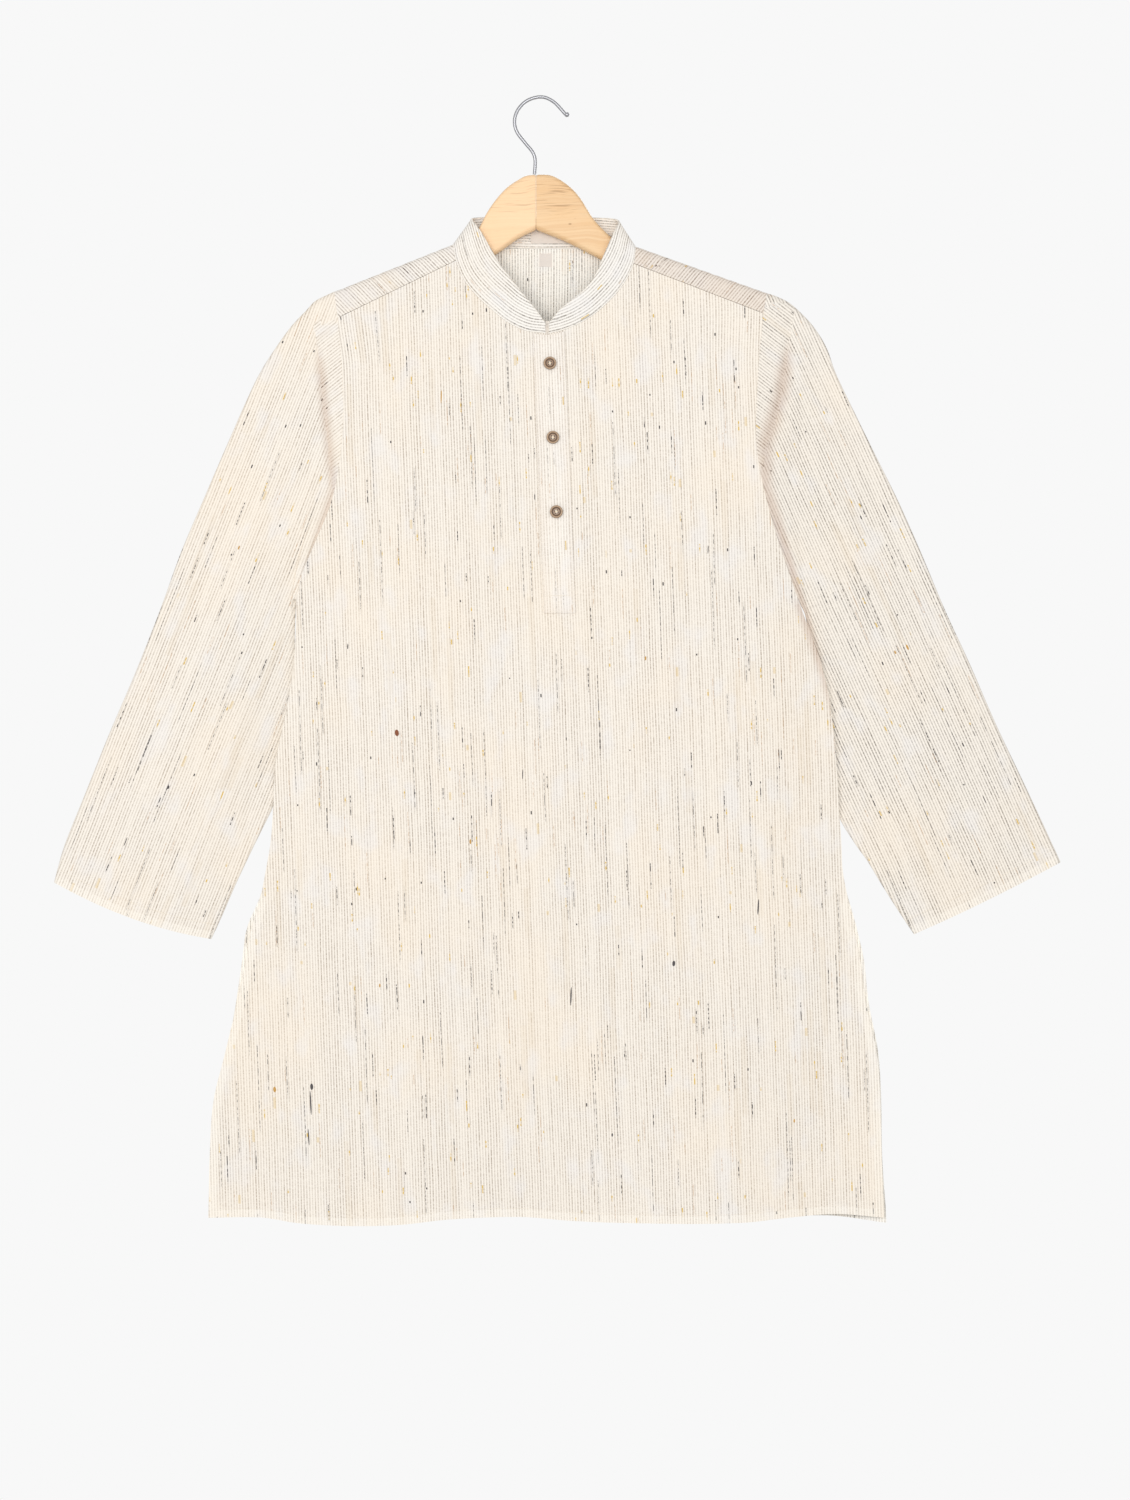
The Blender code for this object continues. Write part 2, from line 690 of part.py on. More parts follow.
def neck_y(x, z, side):
    return {"front": -front_depth(x, z), "crown": 0.0, "back": back_depth(x, z)}[side]


def add_front():
    """The front panel, slit down the middle for the placket."""
    stations = [s for s in collar_stations() if s[5] == "front"]
    halves = {-1: [], 1: []}
    for s in stations:
        side = side_of(s[0] - 0.003)
        if s[1] < SHOULDER_SEAM[side][1] - 0.004:
            halves[side].append(s[:2])
    left_slit = spread(NECK_SLIT[0], NECK_SLIT[1])[1:]
    right_slit = spread(NECK_SLIT[3], NECK_SLIT[2])[1:]
    outline = [*left_slit, NECK_SLIT[1], NECK_SLIT[2], *reversed(right_slit), *reversed(halves[1])]
    edges = {}
    for side in (-1, 1):
        gap = -FOLDS[side].up * SEAM_GAP
        arm, corner = armhole_seam(side)
        shoulder = [*spread(SHOULDER_SEAM[side][:2], SHOULDER_SEAM[side][2:]), arm[corner]]
        shoulder = [tuple(np.array(p) + gap) for p in shoulder]
        edges[side] = [*shoulder, *arm[corner + 1 : -1], *side_edge(side)]
    outline += [*edges[1], *reversed(hem_edge()), *reversed(edges[-1]), *halves[-1][::-1]]
    add_panel("front", outline, grid_points(outline, GRID, outline), lift_front, CLOTH, "cloth")


def add_back():
    """The back panel, whose shoulder parts fold over to the front."""
    edges, necks, rows = {}, {}, []
    for side in (-1, 1):
        fold = FOLDS[side]
        shoulder = spread(SHOULDER_SEAM[side][:2], SHOULDER_SEAM[side][2:])
        arm, corner = armhole_seam(side)
        over = [fold.flat_from_front(*p) for p in reversed(arm[1 : corner + 1])]
        down = [fold.flat_from_back(*p) for p in arm[:-1]]
        edges[side] = [
            *(tuple(fold.flat_from_front(*p)) for p in shoulder),
            *(tuple(p) for p in (*over, *down)),
            *side_edge(side, back=True),
        ]
        necks[side] = []
        for s in collar_stations():
            if side_of(s[0]) != side or s[1] < SHOULDER_SEAM[side][1] + 0.002:
                continue
            if s[5] == "front":
                necks[side].append(tuple(fold.flat_from_front(*s[:2])))
            elif s[5] == "crown":
                crown = fold.turn_start + FOLD_RADIUS * math.pi / 2
                necks[side].append(tuple(fold.place(fold.down(*s[:2]), crown)))
            else:
                necks[side].append(tuple(fold.flat_from_back(*s[:2])))
        for angle in range(0, 181, 30):
            d = fold.turn_start + FOLD_RADIUS * math.radians(angle)
            for a in np.linspace(-fold.length + 0.5 * FOLD_STEP, -0.008, 6):
                rows.append(tuple(fold.place(a, d)))
    neck = [*reversed(necks[1]), *reversed(necks[-1])]
    outline = [*edges[-1], *hem_edge(back=True), *reversed(edges[1]), *neck]
    rows = [p for p in rows if inside(outline, p) and clear_of(outline, p, 0.0045)]
    extra = rows + grid_points(outline, GRID, [*outline, *rows])
    add_panel("back", outline, extra, lift_back, CLOTH, "cloth")


def sleeve_depth(from_outer, from_inner, length, half, rise):
    """Half depth of a sleeve ring between its folds; it is full a share rise in from the inner one."""
    full_out = smooth(CAP_FOLD_RADIUS, 0.35 * length, from_outer)
    full_in = smooth(UNDERARM_RADIUS, rise * length, from_inner)
    outer = CAP_FOLD_RADIUS + (half - CAP_FOLD_RADIUS) * full_out
    inner = UNDERARM_RADIUS + (half - UNDERARM_RADIUS) * full_in
    depth = min(outer, inner)
    for radius, distance in ((CAP_FOLD_RADIUS, from_outer), (UNDERARM_RADIUS, from_inner)):
        if distance < radius:
            depth *= math.sqrt(max(0.0, 1 - (1 - distance / radius) ** 2))
    return depth


def sleeve_rings(side):
    """Points of each ring: down the front from the outer fold to the inner one, then up the back."""
    seam, _ = armhole_seam(side)
    seam = np.array(seam)
    steps = np.linalg.norm(np.diff(seam, axis=0), axis=1)
    share = np.concatenate([[0.0], np.cumsum(steps)]) / steps.sum()
    tangents = np.gradient(seam, axis=0)
    outward = np.stack([tangents[:, 1], -tangents[:, 0]], axis=1) * -side
    outward /= np.linalg.norm(outward, axis=1)[:, None]
    gaps = np.array([SEAM_GAP + (ARMPIT_SPACE[side] - SEAM_GAP) * smooth(0.86, 0.99, t) for t in share])
    first = seam + outward * gaps[:, None]
    chord = first[0] + (first[-1] - first[0]) * share[:, None]
    bend = (first - chord) * (1 - share**3)[:, None]
    total = steps.sum()
    fronts, backs = [], []
    for (x, z), t in zip(seam, share):
        near = (1 - t) * total
        turned = 1 - min(1.0, near / UNDERARM_RADIUS)
        least = UNDERARM_RADIUS * math.sqrt(max(0.0, 1 - turned**2))
        ends = 0.0 if t in (0.0, 1.0) else 1.0
        fronts.append(-max(front_depth(x, z), least) * ends)
        backs.append(max(back_depth(x, z), least) * ends)
    rings = [[hung(*p) for p in ring_order(first, fronts, backs)]]
    table = SLEEVE_RINGS[side]
    for k, (ox, oz, ix, iz, behind, half, keep) in enumerate(table):
        outer, inner = np.array((ox, oz)), np.array((ix, iz))
        length = float(np.linalg.norm(inner - outer))
        line = outer + (inner - outer) * share[:, None] + bend * keep
        down = np.array((0.0, -1.0)) * CUFF_BOW[side] * smooth(len(table) - 4, len(table) - 1, k)
        rise = 0.60 - 0.28 * smooth(8, 12, k)
        line += down * (4 * share * (1 - share))[:, None]
        front, back = [], []
        for i, t in enumerate(share):
            depth = sleeve_depth(t * length, (1 - t) * length, length, half, rise)
            middle = behind * t
            front.append(keep * fronts[i] + (1 - keep) * -depth + middle)
            back.append(keep * backs[i] + (1 - keep) * depth + middle)
        rings.append([hung(*p) for p in ring_order(line, front, back)])
    return rings


def ring_order(line, front, back):
    """x, y, z of a ring: down its front and, without its two end points, back up its back."""
    down = [(x, y, z) for (x, z), y in zip(line, front)]
    up = [(x, y, z) for (x, z), y in zip(line, back)]
    return [*down, *reversed(up[1:-1])]


def add_sleeve(name, side):
    rings = sleeve_rings(side)
    around = len(rings[0])
    points = [p for ring in rings for p in ring]
    faces = []
    for k in range(len(rings) - 1):
        for i in range(around):
            j = (i + 1) % around
            faces.append((k * around + i, k * around + j, (k + 1) * around + j, (k + 1) * around + i))
    add_wall(name, points, faces, normals_of_mesh(points, faces), CLOTH, "cloth")


def add_collar():
    """The standing band, open at the front."""
    points, faces = [], []
    stations = collar_stations()
    for neck_x, neck_z, top_x, top_z, top_y, side in stations:
        if abs(top_y) < 1e-6:
            side = "crown"
        foot = np.array((neck_x, neck_y(neck_x, neck_z, side), neck_z))
        top = np.array((top_x, top_y, top_z))
        foot += (top - foot) / np.linalg.norm(top - foot) * COLLAR_GAP
        for row in range(COLLAR_ROWS + 1):
            p = foot + (top - foot) * row / COLLAR_ROWS
            points.append(hung(*p))
    rows = COLLAR_ROWS + 1
    for i in range(len(stations) - 1):
        for row in range(COLLAR_ROWS):
            a = i * rows + row
            faces.append((a, a + rows, a + rows + 1, a + 1))
    add_wall("collar", points, faces, normals_of_mesh(points, faces), COLLAR_WALL, "placket")


def placket_x(z):
    share = (z - PLACKET_TOP[1]) / (PLACKET_FOOT[1] - PLACKET_TOP[1])
    return PLACKET_TOP[0] + (PLACKET_FOOT[0] - PLACKET_TOP[0]) * share


def strip_outline(width, top, foot_z, step=0.018):
    """Outline of a strip down the placket's line, under the given top points from left to right."""
    half = width / 2
    count = round((top[0][1] - foot_z) / step)
    levels = np.linspace(min(p[1] for p in top) - 0.004, foot_z, count)
    left = [(placket_x(z) - half, float(z)) for z in levels]
    right = [(placket_x(z) + half, float(z)) for z in levels]
    return [*left, *reversed(right), *reversed(top)]


def add_plackets():
    """The button placket on the front and the strip behind its slit."""
    out = CLOTH / 2 + LAYER_GAP + STRIP_WALL / 2
    outline = strip_outline(PLACKET_WIDTH, PLACKET_TOP_EDGE, PLACKET_FOOT[1])
    extra = [(placket_x(z), float(z)) for z in np.linspace(-0.250, -0.503, 15)]
    add_panel("placket_top", outline, extra, lift_front, STRIP_WALL, "placket", out)
    out = -(CLOTH / 2 + UNDER_GAP + STRIP_WALL / 2)
    tab = placket_x(TAB_TOP_Z)
    foot = UNDER_TOP_Z + 0.002
    top = (
        (tab - UNDER_WIDTH / 2, UNDER_TOP_Z),
        (tab - TAB_WIDTH / 2, foot),
        (tab - TAB_WIDTH / 2, TAB_TOP_Z),
        (tab + TAB_WIDTH / 2, TAB_TOP_Z),
        (tab + TAB_WIDTH / 2, foot),
        (tab + UNDER_WIDTH / 2, UNDER_TOP_Z),
    )
    outline = strip_outline(UNDER_WIDTH, top, UNDER_FOOT_Z)
    extra = [(placket_x(z), float(z)) for z in np.linspace(-0.255, -0.496, 14)]
    add_panel("placket_under", outline, extra, lift_front, STRIP_WALL, "placket", out)


def circle(radius, sides, centre=(0.0, 0.0)):
    turns = [2 * math.pi * i / sides for i in range(sides)]
    return [(centre[0] + radius * math.cos(t), centre[1] + radius * math.sin(t)) for t in turns]


def add_button(name, x, z):
    """A turned button with a raised rim and four thread holes, square to the placket."""
    normal = normal_of(lift_front, (x, z))
    seat = lift_front((x, z)) + normal * (CLOTH / 2 + LAYER_GAP + STRIP_WALL + BUTTON_GAP)
    across = np.cross(np.array((0.0, 0.0, 1.0)), -normal)
    across /= np.linalg.norm(across)
    up = np.cross(-normal, across) * -1
    extra = [p for radius, _ in BUTTON_FACE[1:] for p in circle(radius, BUTTON_SIDES)]
    holes = [circle(BUTTON_HOLE_RADIUS, 8, p) for p in circle(BUTTON_HOLE_OUT * 1.2, 4)]
    flat, faces = flat_mesh(circle(BUTTON_FACE[0][0], BUTTON_SIDES), extra, holes)
    heights = [(-radius, height) for radius, height in BUTTON_FACE]
    front, back = [], []
    for a, b in flat:
        distance = math.hypot(a, b)
        height = float(np.interp(-distance, [r for r, _ in heights], [h for _, h in heights]))
        front.append(seat + across * a + up * b + normal * height)
        back.append(seat + across * a + up * b)
    add_body(name, front, back, faces, "button")


def rectangle(centre_x, centre_z, width, height):
    left, right = centre_x - width / 2, centre_x + width / 2
    low, high = centre_z - height / 2, centre_z + height / 2
    bottom, top = spread((left, low), (right, low), 0.008), spread((right, high), (left, high), 0.008)
    return [*bottom, (right, low), *top, (left, high)]


def add_labels():
    out = COLLAR_WALL / 2 + LAYER_GAP + LABEL_WALL / 2
    add_panel("neck_label", rectangle(*NECK_LABEL), [], lift_collar_back, LABEL_WALL, "label", out)
    out = CLOTH / 2 + LAYER_GAP + LABEL_WALL / 2
    add_panel("size_label", rectangle(*SIZE_LABEL), [], lift_back, LABEL_WALL, "label", out)


def add_loft(name, sections, look):
    """A closed body through rings of points, with flat ends."""
    bm = bmesh.new()
    rings = [[bm.verts.new(p) for p in section] for section in sections]
    for ring, following in zip(rings, rings[1:]):
        for i in range(len(ring)):
            j = (i + 1) % len(ring)
            bm.faces.new((ring[i], ring[j], following[j], following[i]))
    bm.faces.new(rings[0][::-1])
    bm.faces.new(rings[-1])
    return add_object(name, bm, look)


def board_section(x, top_z, foot_z, half):
    """A rounded upright section of the hanger's board at x."""
    turn = min(BOARD_ROUND, half * 0.92, (top_z - foot_z) * 0.45)
    points = []
    for middle_y, middle_z, start in (
        (half - turn, top_z - turn, 0),
        (-half + turn, top_z - turn, 90),
        (-half + turn, foot_z + turn, 180),
        (half - turn, foot_z + turn, 270),
    ):
        for angle in (0, 30, 60, 90):
            t = math.radians(start + angle)
            points.append(hung(x, middle_y + turn * math.cos(t), middle_z + turn * math.sin(t)))
    return points


def add_board(name, side):
    """Half of the hanger: its raised middle, then an arm under the shoulder's fold."""
    fold = FOLDS[side]
    start = BOARD_JOINT_X + side * BOARD_JOINT_GAP / 2
    last_shown = BOARD_TOP[side][-1][0]
    seat = (CLOTH + ARM_SEAT_GAP) / fold.along[0] * math.copysign(1, fold.along[0])
    sections = []
    for x in [*np.linspace(start, last_shown, 15), *np.linspace(last_shown, ARM_END_X[side], 7)[1:]]:
        left_to_go = abs(ARM_END_X[side] - x)
        top = fold.outline_z(x) - seat
        foot = top - ARM_DEPTH
        if abs(x) < abs(last_shown):
            top = min(from_table(BOARD_TOP[side], x, 1), top if abs(x) > 0.086 else 1.0)
            foot = from_table(BOARD_FOOT[side], x, 1)
        narrowing = 1 - 0.35 * (1 - smooth(0.0, 0.020, left_to_go))
        middle, half_height = (top + foot) / 2, (top - foot) / 2 * narrowing
        half = BOARD_THICK / 2 * narrowing
        sections.append(board_section(x, middle + half_height, middle - half_height, half))
    add_loft(name, sections, "wood")


def add_hook():
    """The bent wire from its foot on the wood to its ball tip."""
    line = curve_through(HOOK_LINE, HOOK_STEPS)
    points = np.array([(x, 0.0, z) for x, z in line])
    tangents = np.gradient(points, axis=0)
    tangents /= np.linalg.norm(tangents, axis=1)[:, None]
    steps = np.linalg.norm(np.diff(points, axis=0), axis=1)
    along = np.concatenate([[0.0], np.cumsum(steps)])
    ball = along[-1] - HOOK_BALL_RADIUS
    stops = [s for s in along if s < ball - HOOK_BALL_RADIUS]
    turns = (48, 66, 90, 114, 138, 158, 172)
    stops += [ball - HOOK_BALL_RADIUS * math.cos(math.radians(turn)) for turn in turns]
    sections = []
    for s in stops:
        centre = np.array([np.interp(s, along, points[:, c]) for c in range(3)])
        tangent = np.array([np.interp(s, along, tangents[:, c]) for c in range(3)])
        tangent /= np.linalg.norm(tangent)
        sideways = np.array((0.0, 1.0, 0.0))
        outward = np.cross(tangent, sideways)
        radius = WIRE_RADIUS
        if s > ball - HOOK_BALL_RADIUS:
            radius = HOOK_BALL_RADIUS * math.sqrt(max(0.0, 1 - ((s - ball) / HOOK_BALL_RADIUS) ** 2))
        ring = circle(radius, HOOK_SIDES)
        sections.append([centre + sideways * a + outward * b for a, b in ring])
    add_loft("hanger_hook", sections, "steel")


def main():
    for old in list(bpy.data.objects):
        bpy.data.objects.remove(old)
    add_front()
    add_back()
    add_sleeve("right_sleeve", -1)
    add_sleeve("left_sleeve", 1)
    add_collar()
    add_plackets()
    for number, place in enumerate(BUTTON_PLACES, 1):
        add_button(f"button_{number}", *place)
    add_labels()
    add_board("hanger_arm_right", -1)
    add_board("hanger_arm_left", 1)
    add_hook()


if __name__ == "__main__":
    main()
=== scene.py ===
import math

import bpy
import numpy as np
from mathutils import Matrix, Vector
from mathutils.geometry import delaunay_2d_cdt
from mathutils.kdtree import KDTree


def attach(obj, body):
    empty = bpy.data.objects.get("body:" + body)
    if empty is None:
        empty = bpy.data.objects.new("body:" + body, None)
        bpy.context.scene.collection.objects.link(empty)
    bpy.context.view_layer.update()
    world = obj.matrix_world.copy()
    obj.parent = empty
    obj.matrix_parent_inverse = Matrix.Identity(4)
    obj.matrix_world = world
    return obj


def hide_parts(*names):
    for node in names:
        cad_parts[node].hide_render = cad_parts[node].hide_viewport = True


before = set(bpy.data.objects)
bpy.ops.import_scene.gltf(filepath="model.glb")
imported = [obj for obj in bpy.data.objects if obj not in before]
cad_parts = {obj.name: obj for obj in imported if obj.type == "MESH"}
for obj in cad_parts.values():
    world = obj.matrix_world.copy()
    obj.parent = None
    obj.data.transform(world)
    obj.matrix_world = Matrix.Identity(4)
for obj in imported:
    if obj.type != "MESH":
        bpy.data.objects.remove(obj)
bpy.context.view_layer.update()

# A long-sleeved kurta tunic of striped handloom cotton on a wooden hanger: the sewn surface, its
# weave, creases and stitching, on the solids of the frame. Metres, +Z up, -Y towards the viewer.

# Fine cloth: its thickness, mesh step, turned edges, stitch and thread
SHELL = 0.0010
STRIP_SHELL = 0.0008
GRID = 0.0054
SLIT_HEM = 0.0130
LOWER_HEM = 0.0085
CUFF_HEM = 0.0150
STITCH = 0.0026
STITCH_GAP = 0.14
THREAD = 0.00022
SHOULDER_STITCH = 0.0016
ARM_STITCH = 0.0060
STRIP_STITCH = 0.0018
# More cloth at a turned edge, a side seam and an armhole seam, and how far a turned edge sinks
TURNED_LAYERS = 0.0012
SEAM_SWELL = 0.00072
ALLOWANCE_RIDGE = 0.00035
BAND_SINK = 0.3
RIPPLE = 0.00012
# How far from an edge its painted shade starts, and the level above which the back has no relief
NEAR = 0.02
BACK_SMOOTH_Z = -0.25

# The frame's cloth wall, and half its depth at a side seam
CLOTH = 0.0015
SIDE_SEAM_HALF = CLOTH / 2 + 0.00015

# The body, seen from the front
CENTRE_X = 0.003
HEM_Z = -1.117
ARMPIT_Z = -0.501
SLIT_TOP_Z = -0.791
SLIT_PARTING = 0.0020
FOLD_RADIUS = 0.0080
FRONT_DEPTH = 0.021
BACK_DEPTH = 0.016
LENS_POWER = 2.5

# Side edges of the front: z, left x, right x
SIDE_EDGES = (
    (-0.501, -0.2436, 0.256), (-0.533, -0.244, 0.2675), (-0.565, -0.2465, 0.2788),
    (-0.604, -0.252, 0.2875), (-0.663, -0.264, 0.294), (-0.706, -0.2665, 0.2965), (-0.741, -0.269, 0.299),
    (-0.771, -0.274, 0.3005), (-0.801, -0.28, 0.306), (-0.831, -0.289, 0.312), (-0.861, -0.294, 0.318),
    (-0.901, -0.302, 0.323), (-0.951, -0.314, 0.334), (-1.001, -0.326, 0.338), (-1.051, -0.3295, 0.339),
    (-1.117, -0.331, 0.342),
)
# How far the back's slit edges stand beyond the front's: z, left, right
BACK_SLIT_OVERHANG = (
    (-0.791, 0.0, 0.0), (-0.825, 0.0045, 0.003), (-0.87, 0.0035, 0.004), (-0.95, -0.001, 0.002),
    (-1.05, -0.002, 0.001), (-1.117, -0.0015, 0.0025),
)
# The hem's lower edge: x, front z, back z
HEM = (
    (-0.331, -1.1165, -1.115), (-0.279, -1.1165, -1.1155), (-0.241, -1.122, -1.117),
    (-0.191, -1.124, -1.119), (-0.141, -1.1225, -1.1195), (-0.091, -1.1175, -1.118),
    (-0.021, -1.116, -1.1165), (0.029, -1.12, -1.117), (0.079, -1.1215, -1.118), (0.199, -1.1205, -1.118),
    (0.249, -1.116, -1.117), (0.295, -1.113, -1.1165), (0.342, -1.1165, -1.122),
)
# Half-width of the body's cross-section above the armpit, where it runs on past the armhole: z, x
LENS_WIDTH = (
    (-0.12, 0.56), (-0.223, 0.46), (-0.318, 0.36), (-0.4, 0.3), (-0.46, 0.264), (-0.501, 0.2498),
)
# Share of the full depth down the body: z, share
BODY_FULLNESS = (
    (-0.146, 0.45), (-0.3, 0.8), (-0.45, 1.0), (-0.7, 0.95), (-0.9, 0.8), (-1.124, 0.72),
)

# Top of each shoulder, where the back folds over to the front: neck x, neck z, arm x, arm z
SHOULDER_FOLD = {
    -1: (-0.0860, -0.1450, -0.2060, -0.1940),
    1: (0.0920, -0.1470, 0.2250, -0.1955),
}
# The shoulder seam, which lies in front of that fold: neck x, neck z, arm x, arm z
SHOULDER_SEAM = {
    -1: (-0.0850, -0.1630, -0.2020, -0.2210),
    1: (0.0925, -0.1660, 0.2210, -0.2165),
}
# The armhole seam from the shoulder seam down to the armpit: x, z
ARMHOLE = {
    -1: (
        (-0.202, -0.221), (-0.197, -0.279), (-0.196, -0.318), (-0.2, -0.366), (-0.208, -0.404),
        (-0.223, -0.441), (-0.2375, -0.476), (-0.2436, -0.501),
    ),
    1: (
        (0.221, -0.2165), (0.215, -0.285), (0.214, -0.346), (0.22, -0.385), (0.234, -0.437),
        (0.249, -0.481), (0.256, -0.501),
    ),
}
# The sleeve's rings after the armhole: outer fold x, z, inner fold x, z, how far the inner fold
# lies towards the back, half depth, and how much of the armhole's own form the ring keeps
SLEEVE_RINGS = {
    -1: (
        (-0.213, -0.198, -0.2486, -0.506, 0.0018, 0.0125, 0.92),
        (-0.2245, -0.204, -0.2488, -0.517, 0.004, 0.012, 0.78),
        (-0.234, -0.214, -0.248, -0.533, 0.0065, 0.0115, 0.6),
        (-0.248, -0.229, -0.2468, -0.553, 0.0085, 0.011, 0.42),
        (-0.2625, -0.249, -0.246, -0.574, 0.009, 0.01, 0.28),
        (-0.2795, -0.276, -0.248, -0.592, 0.009, 0.0095, 0.16),
        (-0.296, -0.311, -0.2505, -0.611, 0.009, 0.009, 0.08),
        (-0.3155, -0.356, -0.255, -0.634, 0.009, 0.0085, 0.03),
        (-0.337, -0.406, -0.26, -0.659, 0.0085, 0.008, 0.0),
        (-0.358, -0.456, -0.2635, -0.683, 0.007, 0.008, 0.0),
        (-0.379, -0.514, -0.2665, -0.704, 0.0045, 0.008, 0.0),
        (-0.4035, -0.576, -0.279, -0.731, 0.002, 0.008, 0.0),
        (-0.429, -0.636, -0.292, -0.758, 0.0005, 0.008, 0.0),
        (-0.453, -0.696, -0.305, -0.786, 0.0, 0.0075, 0.0),
        (-0.473, -0.746, -0.318, -0.816, 0.0, 0.007, 0.0),
        (-0.483, -0.7825, -0.329, -0.839, 0.0, 0.0065, 0.0),
    ),
    1: (
        (0.2355, -0.2, 0.2592, -0.506, 0.0018, 0.0125, 0.92),
        (0.247, -0.206, 0.264, -0.516, 0.0045, 0.012, 0.78),
        (0.2585, -0.216, 0.2675, -0.533, 0.0075, 0.0115, 0.6),
        (0.272, -0.231, 0.2735, -0.553, 0.0085, 0.011, 0.42),
        (0.284, -0.251, 0.278, -0.574, 0.009, 0.01, 0.28),
        (0.293, -0.276, 0.2825, -0.594, 0.009, 0.0095, 0.16),
        (0.3095, -0.311, 0.286, -0.616, 0.009, 0.009, 0.08),
        (0.3315, -0.356, 0.289, -0.642, 0.009, 0.0085, 0.03),
        (0.356, -0.406, 0.2915, -0.668, 0.0085, 0.008, 0.0),
        (0.378, -0.456, 0.2938, -0.694, 0.007, 0.008, 0.0),
        (0.4, -0.509, 0.298, -0.718, 0.005, 0.008, 0.0),
        (0.426, -0.566, 0.312, -0.742, 0.002, 0.008, 0.0),
        (0.452, -0.626, 0.326, -0.762, 0.0005, 0.008, 0.0),
        (0.478, -0.681, 0.338, -0.782, 0.0, 0.0075, 0.0), (0.499, -0.726, 0.355, -0.809, 0.0, 0.007, 0.0),
        (0.5155, -0.7625, 0.372, -0.834, 0.0, 0.0065, 0.0),
    ),
}
CAP_FOLD_RADIUS = 0.0045
UNDERARM_RADIUS = 0.0020
ARMPIT_SPACE = {-1: 0.0034, 1: 0.0011}
CUFF_BOW = {-1: 0.0075, 1: 0.0015}

# The collar band: neck edge x, z, top edge x, z and y, which is below 0 in front of the shoulders
COLLAR = (
    (0.0045, -0.2362, 0.0045, -0.2255, -0.014), (-0.015, -0.2335, -0.006, -0.2105, -0.0135),
    (-0.033, -0.225, -0.018, -0.196, -0.013), (-0.0495, -0.212, -0.0285, -0.1825, -0.0125),
    (-0.064, -0.1985, -0.04, -0.168, -0.0118), (-0.077, -0.182, -0.05, -0.151, -0.0112),
    (-0.085, -0.163, -0.059, -0.1355, -0.0104), (-0.0868, -0.152, -0.0655, -0.126, -0.007),
    (-0.0865, -0.1462, -0.0685, -0.1205, 0.0), (-0.08, -0.147, -0.065, -0.1175, 0.008),
    (-0.06, -0.148, -0.051, -0.1165, 0.0104), (-0.03, -0.1485, -0.026, -0.1165, 0.0108),
    (0.003, -0.1488, 0.003, -0.1165, 0.011), (0.036, -0.1488, 0.031, -0.1165, 0.0108),
    (0.066, -0.1488, 0.056, -0.1172, 0.0104), (0.086, -0.1488, 0.0715, -0.1185, 0.008),
    (0.093, -0.1482, 0.077, -0.1225, 0.0), (0.094, -0.1545, 0.0745, -0.131, -0.007),
    (0.0925, -0.166, 0.069, -0.143, -0.0104), (0.086, -0.181, 0.062, -0.159, -0.0112),
    (0.0745, -0.197, 0.0555, -0.175, -0.0118), (0.0565, -0.2145, 0.044, -0.1915, -0.0125),
    (0.038, -0.2265, 0.03, -0.203, -0.013), (0.022, -0.233, 0.018, -0.213, -0.0135),
    (0.008, -0.2364, 0.008, -0.2255, -0.014),
)

# The placket, the slit under it, and the three buttons' x, z and turn
PLACKET_TOP = (0.0075, -0.2375)
PLACKET_FOOT = (0.0190, -0.5150)
PLACKET_WIDTH = 0.0315
PLACKET_TOP_EDGE = (
    (-0.0082, -0.2362), (-0.001, -0.2374), (0.007, -0.238), (0.015, -0.2368), (0.0232, -0.2342),
)
UNDER_WIDTH = 0.0270
UNDER_TOP_Z = -0.2420
UNDER_FOOT_Z = -0.5080
TAB_WIDTH = 0.0050
TAB_TOP_Z = -0.2235
NECK_SLIT = ((0.0045, -0.2362), (0.0170, -0.4950), (0.0190, -0.4950), (0.0080, -0.2364))
BUTTON_PLACES = ((0.0090, -0.2665, 12.0), (0.0120, -0.3405, -7.0), (0.0155, -0.4145, 21.0))
BUTTON_HOLE_RADIUS = 0.0007
BUTTON_HOLE_OUT = 0.0012
BUTTON_DISH = 0.00206

# The labels: centre x, z, width, height
NECK_LABEL = (0.0180, -0.1335, 0.0560, 0.0200)
SIZE_LABEL = (0.0045, -0.1600, 0.0125, 0.0130)

# The hanger: each half's upper and lower outline where it shows, x, z
BOARD_THICK = 0.0114
BOARD_ROUND = 0.0052
BOARD_JOINT_X = -0.0050
BOARD_JOINT_GAP = 0.0003
BOARD_TOP = {
    -1: (
        (-0.005, -0.0758), (-0.0153, -0.0772), (-0.0242, -0.082), (-0.0331, -0.0882), (-0.0403, -0.0953),
        (-0.0474, -0.1042), (-0.0546, -0.1152), (-0.0606, -0.127), (-0.067, -0.137), (-0.077, -0.1448),
        (-0.09, -0.15),
    ),
    1: (
        (-0.005, -0.0758), (0.0095, -0.0765), (0.0204, -0.0818), (0.031, -0.09), (0.04, -0.1006),
        (0.0508, -0.118), (0.06, -0.129), (0.07, -0.1385), (0.082, -0.1468), (0.096, -0.1518),
    ),
}
BOARD_FOOT = {
    -1: ((-0.0050, -0.1308), (-0.0230, -0.1400), (-0.0474, -0.1570), (-0.0900, -0.1780)),
    1: ((-0.0050, -0.1308), (0.0250, -0.1430), (0.0606, -0.1614), (0.0960, -0.1800)),
}
ARM_END_X = {-1: -0.1960, 1: 0.2150}
ARM_DEPTH = 0.0270
NECK_HALF = 0.086
ARM_SEAT_GAP = 0.0022

